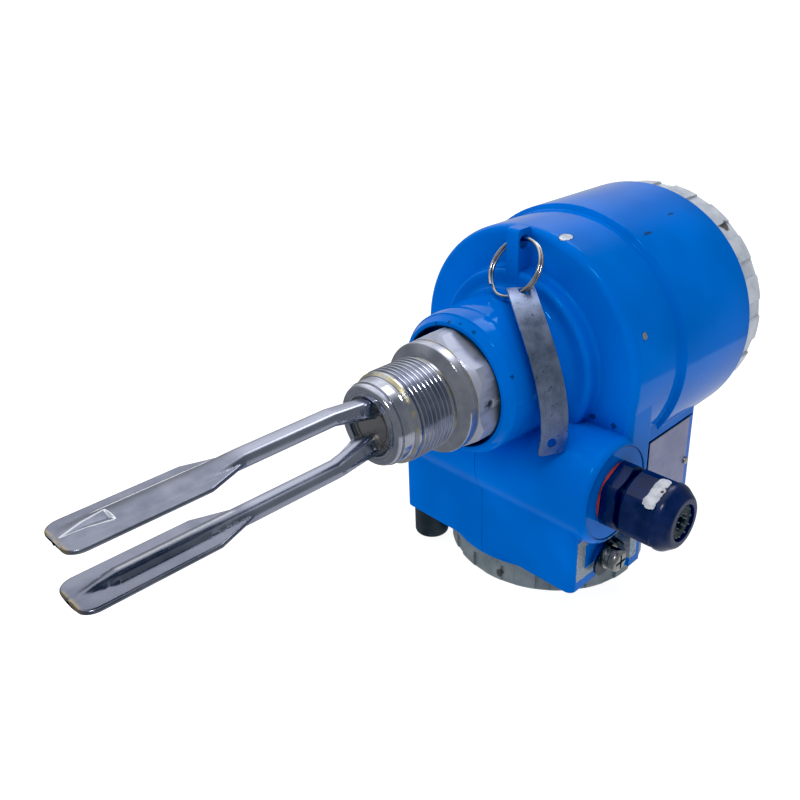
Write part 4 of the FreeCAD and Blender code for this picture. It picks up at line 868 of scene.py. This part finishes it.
def tine_heights(x, y, half):
    """Outer and inner height of a tine's section above its own middle."""
    edge = max(0.0, abs(y) - half + PLATE_HALF) / PLATE_HALF
    tip = max(0.0, PLATE_HALF - (x - TIP_X)) / PLATE_HALF
    plate = PLATE_HALF * math.sqrt(max(0.0, 1.0 - edge ** 2)) * math.sqrt(max(0.0, 1.0 - tip ** 2))
    pencil = share(x, RIB_TIP_X, RIB_X)
    rib_half = min(half, RIB_TIP_HALF + (BAR_HALF_W - RIB_TIP_HALF) * pencil)
    rib = PLATE_HALF + (BAR_HALF_T - PLATE_HALF) * pencil
    ridge = PLATE_HALF + RIDGE * eased(x, *RIDGE_RISE)
    ridge += (BAR_HALF_T - ridge) * share(x, SHOULDER_X - 2.0, BAR_X)
    blend = SOFT * eased(x, *SOFT_RISE) * (1.0 - share(x, *SOFT_FADE))
    drawn = share(x, SHOULDER_X, BAR_X)
    ridge_half = min(half, BAR_HALF_W + RIDGE_SPREAD * (1.0 - drawn))
    outer = ridge * swell(y, ridge_half, 2.0 + 1.2 * drawn)
    inner = rib * swell(y, rib_half, 2.2)
    if x < BAR_X:
        outer = soft_most(plate, outer, blend + 1e-4) - pressed_arrow(x, y)
        inner = soft_most(plate, inner, blend + 1e-4)
        fade = 1.0 - edge ** 4 if edge < 1.0 else 0.0
        outer, inner = plate + (outer - plate) * fade, plate + (inner - plate) * fade
    return outer, inner


def tine_row(x, count=32):
    """Closed loop of one tine at a station, in the fork's own axes."""
    half = half_width(x)
    foot = share(x, KINK_X, DISC_X)
    middle = TINE_MID + ((FOOT_IN + FOOT_OUT) / 2 - TINE_MID) * foot
    thick = 1.0 + ((FOOT_OUT - FOOT_IN) / 2 / BAR_HALF_T - 1.0) * foot
    limit = math.hypot(TINE_MID + BAR_HALF_T, BAR_HALF_W) * (1.0 - foot) + FOOT_OUT * foot
    row = []
    for side in (1, -1):
        for k in range(count):
            y = side * half * math.sin(math.pi * (k / count - 0.5))
            height = tine_heights(x, y, half)[0 if side > 0 else 1] * thick
            z = middle + side * height
            pull = min(1.0, limit / math.hypot(y, z)) if foot else 1.0
            row.append((x, y * pull, z * pull))
    return row


def forged_fork():
    first, last = TIP_X + NEAR_TIP[-1] + STATION, DISC_X + 0.6
    steps = [TIP_X + d for d in NEAR_TIP]
    steps += [first + STATION * k for k in range(int((last - first) / STATION))]
    steps = sorted(steps + [ARROW_X, ARROW_X + 0.25, RIB_X, SHOULDER_X, BAR_X, KINK_X, last])
    cos, sin = math.cos(FORK_TURN), math.sin(FORK_TURN)
    mesh = bmesh.new()
    for flip in (1, -1):
        rows = []
        for x in steps:
            tine = [(flip * y, flip * z) for _, y, z in tine_row(x)]
            rows.append([(x, y * cos - z * sin, y * sin + z * cos + FORK_AXIS_Z) for y, z in tine])
        mesh.faces.new(skin(mesh, rows)[-1])
    disc = [(DISC_BACK, r) for r in (AXIS_R, STUD_R, DISC_R)] + [(DISC_X, DISC_R)]
    for r in RIPPLES:
        inner, floor = r - RIPPLE_WIDE, DISC_X + RIPPLE_DEEP
        disc += [(DISC_X, r), (floor, r - RIPPLE_SLANT), (floor, inner + RIPPLE_SLANT), (DISC_X, inner)]
    skin(mesh, wheel(disc + [(DISC_X, AXIS_R)], steps=96), ring=True)
    stud = [(STUD_ROOT, AXIS_R), (STUD_ROOT, STUD_R), (STUD_END - STUD_CHAMFER, STUD_R),
            (STUD_END, STUD_R - STUD_CHAMFER), (STUD_END, AXIS_R)]
    skin(mesh, wheel(stud, steps=48), ring=True)
    return finished("forged_fork", mesh, sharp=38.0)


fork = forged_fork()
fork.data.materials.append(FINISHES["fork_steel"])
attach(fork, "switch")
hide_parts("vibrating_fork")
print("forged fork", len(fork.data.polygons), "faces")

# %% [markdown]
# ## The turned connection
# Seen close, the collar's front is a cone with one bright edge, the thread is a finer row of
# crests, the nose has a rolled lip with a groove behind it, and the hexagon's corners were turned
# off at an angle. A profile turned round the fork axis gives the first three. The hexagon belongs
# to the same skin: there the radius follows the flats, held back by the turned cone, and that
# leaves the curved chamfer edges.

# %% turned connection
HEX_FLAT, HEX_ROUND, HEX_BACK = 20.5, 22.3, -56.05
HEX_CONE, CONE_STEPS, CONE_STEP, CONE_SLOPE = 20.45, 15, 0.15, 0.85
HEX_CORNER = math.radians(33.0)
THREAD_START, THREAD_END, CRESTS, CREST_R, VALLEY_R = -91.2, -75.9, 8, 16.6, 15.45
BORE_R, SHANK_R, SHANK_CHAMFER, DISC_SEAT = 11.4, 15.0, 0.4, DISC_X - 0.03
HOLE_X, HOLE_R, HOLE_DEPTH, COUNTERSINK = -62.25, 1.3, 6.0, 0.35
O_RING_MID, O_RING_HALF, O_RING_DEEP = 17.4, 1.05, 2.1
SHANK_END = 1000.0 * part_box("process_connection")[1][0]


def hexagon_reach(x, radius, turn):
    """Radius of the skin: the profile's, or on the hexagon the nearer of flat and turned cone."""
    if radius < HEX_CONE - 0.01 or not HEX_FRONT <= x <= HEX_BACK:
        return radius
    sixth = math.pi / 3.0
    from_flat = (turn - HEX_CORNER) % sixth - sixth / 2.0
    return min(HEX_FLAT / math.cos(from_flat), radius)


def connection_profile():
    lip = [(DISC_SEAT, 10.45), (-100.1, 10.45), (-100.4, 10.7), (-100.4, 11.3), (-100.28, 11.42),
           (-100.28, 11.75), (-100.4, 11.9)] + arc((-98.3, 12.3), 2.1, 180.0, 92.0, 10)
    nose = [(-98.1, 14.35), (-97.95, 14.15), (-97.8, 14.15), (-97.6, 14.75), (-97.4, 14.85),
            (-94.2, 14.9), (-93.9, 15.1), (-93.5, 15.15), (-93.35, 15.4), (-92.3, 16.3),
            (-91.4, 16.3)]
    pitch = (THREAD_END - THREAD_START) / CRESTS
    crest = [(0.0, VALLEY_R), (0.2, VALLEY_R), (0.48, CREST_R - 0.08), (0.54, CREST_R),
             (0.66, CREST_R), (0.72, CREST_R - 0.08)]
    thread = [(THREAD_START + pitch * (k + t), r) for k in range(CRESTS) for t, r in crest]
    collar = [(THREAD_END, VALLEY_R), (-75.5, 15.5), (-75.2, 15.8), (-74.9, 16.6), (-72.6, 19.9),
              (-72.3, 20.25), (-72.0, 20.45), (-71.6, 20.5), (-69.5, 20.5), (-69.3, 20.4),
              (-69.15, 20.22), (-68.8, 20.2), (HEX_FRONT - 0.001, 20.25)]
    cone = [(HEX_FRONT + CONE_STEP * k, HEX_CONE + CONE_STEP * k * CONE_SLOPE)
            for k in range(CONE_STEPS)]
    hexagon = [(x, min(r, HEX_ROUND)) for x, r in cone] + [(HEX_BACK, HEX_ROUND)]
    outer, inner, bottom = O_RING_MID + O_RING_HALF, O_RING_MID - O_RING_HALF, HEX_BACK - O_RING_DEEP
    groove = [(HEX_BACK, outer), (bottom, outer), (bottom, inner), (HEX_BACK, inner)]
    shank = [(HEX_BACK, SHANK_R), (SHANK_END - SHANK_CHAMFER, SHANK_R),
             (SHANK_END, SHANK_R - SHANK_CHAMFER), (SHANK_END, BORE_R), (DISC_SEAT, BORE_R)]
    return lip + nose + thread + collar + hexagon + groove + shank


def drilled(piece, centre, inward, radius, depth):
    """Cuts a blind hole with a small countersink and keeps the result as the piece's own mesh."""
    tool = bmesh.new()
    side = inward.orthogonal().normalized()
    other = inward.cross(side)
    angles = [k * math.pi / 24.0 for k in range(48)]
    ring = [side * math.cos(a) + other * math.sin(a) for a in angles]
    mouth = radius + COUNTERSINK
    profile = ((-1.0, mouth), (0.0, mouth), (COUNTERSINK, radius), (depth, radius), (depth, AXIS_R))
    made = skin(tool, [[centre + inward * along + v * r for v in ring] for along, r in profile])
    tool.faces.new(made[0])
    bit = finished("drill", tool, sharp=30.0)
    cut = piece.modifiers.new("hole", "BOOLEAN")
    cut.object, cut.operation, cut.solver = bit, "DIFFERENCE", "EXACT"
    keep_as_mesh(piece)
    bpy.data.objects.remove(bit)


connection = turned("turned_connection", connection_profile(), steps=360, sharp=14.0,
                    reach=hexagon_reach)
flat_angle = HEX_CORNER - math.pi / 6.0
outward = Vector((0.0, -math.cos(flat_angle), math.sin(flat_angle)))
hole = Vector((HOLE_X, 0.0, FORK_AXIS_Z)) + outward * HEX_FLAT
drilled(connection, hole, -outward, HOLE_R, HOLE_DEPTH)
connection.data.materials.append(FINISHES["turned_steel"])
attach(connection, "switch")
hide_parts("process_connection")
print("turned connection", len(connection.data.polygons), "faces")

# %% [markdown]
# ## The painted rim of the neck
# Where the neck ends, its front is a flat cone with a crisp outer edge that catches a thin line
# of light. A thin turned skin over the casting gives that edge; its ends sink into the paint, so
# no seam shows.

# %% neck rim
RIM_FRONT = [(-57.5, 22.55), (-59.6, 22.55), (-59.9, 22.65), (-60.05, 22.9), (-60.06, 23.6),
             (-59.95, 23.95), (-56.75, 26.35)]
RIM_EDGE = arc((-56.3, 26.2), 0.55, 130.0, 92.0, 5)
RIM_SIDE = [(-54.0, 26.98), (-50.0, 27.2), (-48.0, 26.9), (-48.0, 25.0), (-57.5, 25.0)]

rim = turned("neck_rim", RIM_FRONT + RIM_EDGE + RIM_SIDE, steps=240, sharp=20.0)
rim.data.materials.append(FINISHES["blue_paint"])
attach(rim, "switch")
print("neck rim", len(rim.data.polygons), "faces")

# %% [markdown]
# ## Clamping fingers in the gland's mouth
# Between the nut's mouth and the rubber sit the ends of the plastic clamping fingers, with scraps
# of torn rubber in the middle. The same small tapered finger repeats round a circle, so Geometry
# Nodes set it out: a circle of points, one finger on each, turned to face the axis and varied a
# little by a fixed seed.

# %% clamping fingers
WHOLE, REAL = "NodeSocketInt", "NodeSocketFloat"
FINGER_INPUTS = {"Count": WHOLE, "Radius": REAL, "Length": REAL, "Width": REAL, "Seed": WHOLE}
FINGER_NODES = {"given": "NodeGroupInput", "circle": "GeometryNodeMeshCircle",
                "finger": "GeometryNodeMeshCone", "half": "ShaderNodeMath",
                "where": "GeometryNodeInputPosition", "turn": "FunctionNodeAlignRotationToVector",
                "size": "FunctionNodeRandomValue", "place": "GeometryNodeInstanceOnPoints",
                "stand": "GeometryNodeTransform", "whole": "GeometryNodeRealizeInstances",
                "coat": "GeometryNodeSetMaterial", "result": "NodeGroupOutput"}
FINGER_LINKS = [("given", "Count", "circle", "Vertices"), ("given", "Radius", "circle", "Radius"),
                ("given", "Length", "finger", "Depth"), ("given", "Width", "half", 0),
                ("given", "Width", "finger", "Radius Bottom"), ("half", 0, "finger", "Radius Top"),
                ("given", "Seed", "size", "Seed"), ("circle", 0, "place", "Points"),
                ("finger", "Mesh", "place", "Instance"), ("where", 0, "turn", "Vector"),
                ("turn", 0, "place", "Rotation"), ("size", 0, "place", "Scale"),
                ("place", 0, "stand", 0), ("stand", 0, "whole", 0), ("whole", 0, "coat", 0),
                ("coat", 0, "result", 0)]
SMALLEST, LARGEST, TAPER, FINGER_SIDES = (0.75, 0.75, 0.75), (1.15, 1.25, 1.1), 0.45, 5
FINGERS = {"Count": 11, "Radius": 0.0057, "Length": 0.0015, "Width": 0.0006, "Seed": 4}
SCRAPS = {"Count": 7, "Radius": 0.0030, "Length": 0.0016, "Width": 0.00055, "Seed": 11}
FINGER_Y, SCRAP_Y = -74.9, -74.7


def finger_tree(material):
    tree = bpy.data.node_groups.new("clamping_fingers", "GeometryNodeTree")
    for name, kind in FINGER_INPUTS.items():
        tree.interface.new_socket(name, in_out="INPUT", socket_type=kind)
    tree.interface.new_socket("Geometry", in_out="OUTPUT", socket_type="NodeSocketGeometry")
    nodes = {name: tree.nodes.new(kind) for name, kind in FINGER_NODES.items()}
    nodes["turn"].axis = "X"
    nodes["size"].data_type = "FLOAT_VECTOR"
    nodes["half"].operation = "MULTIPLY"
    for name, socket, value in (("finger", "Vertices", FINGER_SIDES), ("half", 1, TAPER),
                                ("size", "Min", SMALLEST), ("size", "Max", LARGEST),
                                ("stand", "Rotation", (math.radians(90.0), 0.0, 0.0)),
                                ("coat", "Material", material)):
        nodes[name].inputs[socket].default_value = value
    for source, output, target, socket in FINGER_LINKS:
        tree.links.new(nodes[source].outputs[output], nodes[target].inputs[socket])
    return tree


def finger_ring(name, tree, settings, depth):
    """One ring of fingers on the gland axis, kept as a plain mesh in place."""
    holder = bpy.data.objects.new(name, bpy.data.meshes.new(name))
    bpy.context.scene.collection.objects.link(holder)
    maker = holder.modifiers.new("fingers", "NODES")
    maker.node_group = tree
    for socket in tree.interface.items_tree:
        if socket.in_out == "INPUT":
            maker[socket.identifier] = settings[socket.name]
    keep_as_mesh(holder)
    mouth = Vector((GLAND_AXIS[0], depth, GLAND_AXIS[1])) / 1000.0
    holder.data.transform(Matrix.Translation(mouth))
    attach(holder, "switch")
    return holder


fingers = finger_tree(FINISHES["finger_plastic"])
outer_ring = finger_ring("clamping_fingers", fingers, FINGERS, FINGER_Y)
scraps = finger_ring("rubber_scraps", fingers, SCRAPS, SCRAP_Y)
print("fingers", len(outer_ring.data.polygons), "scraps", len(scraps.data.polygons), "faces")

# %% finish
print("scene made")
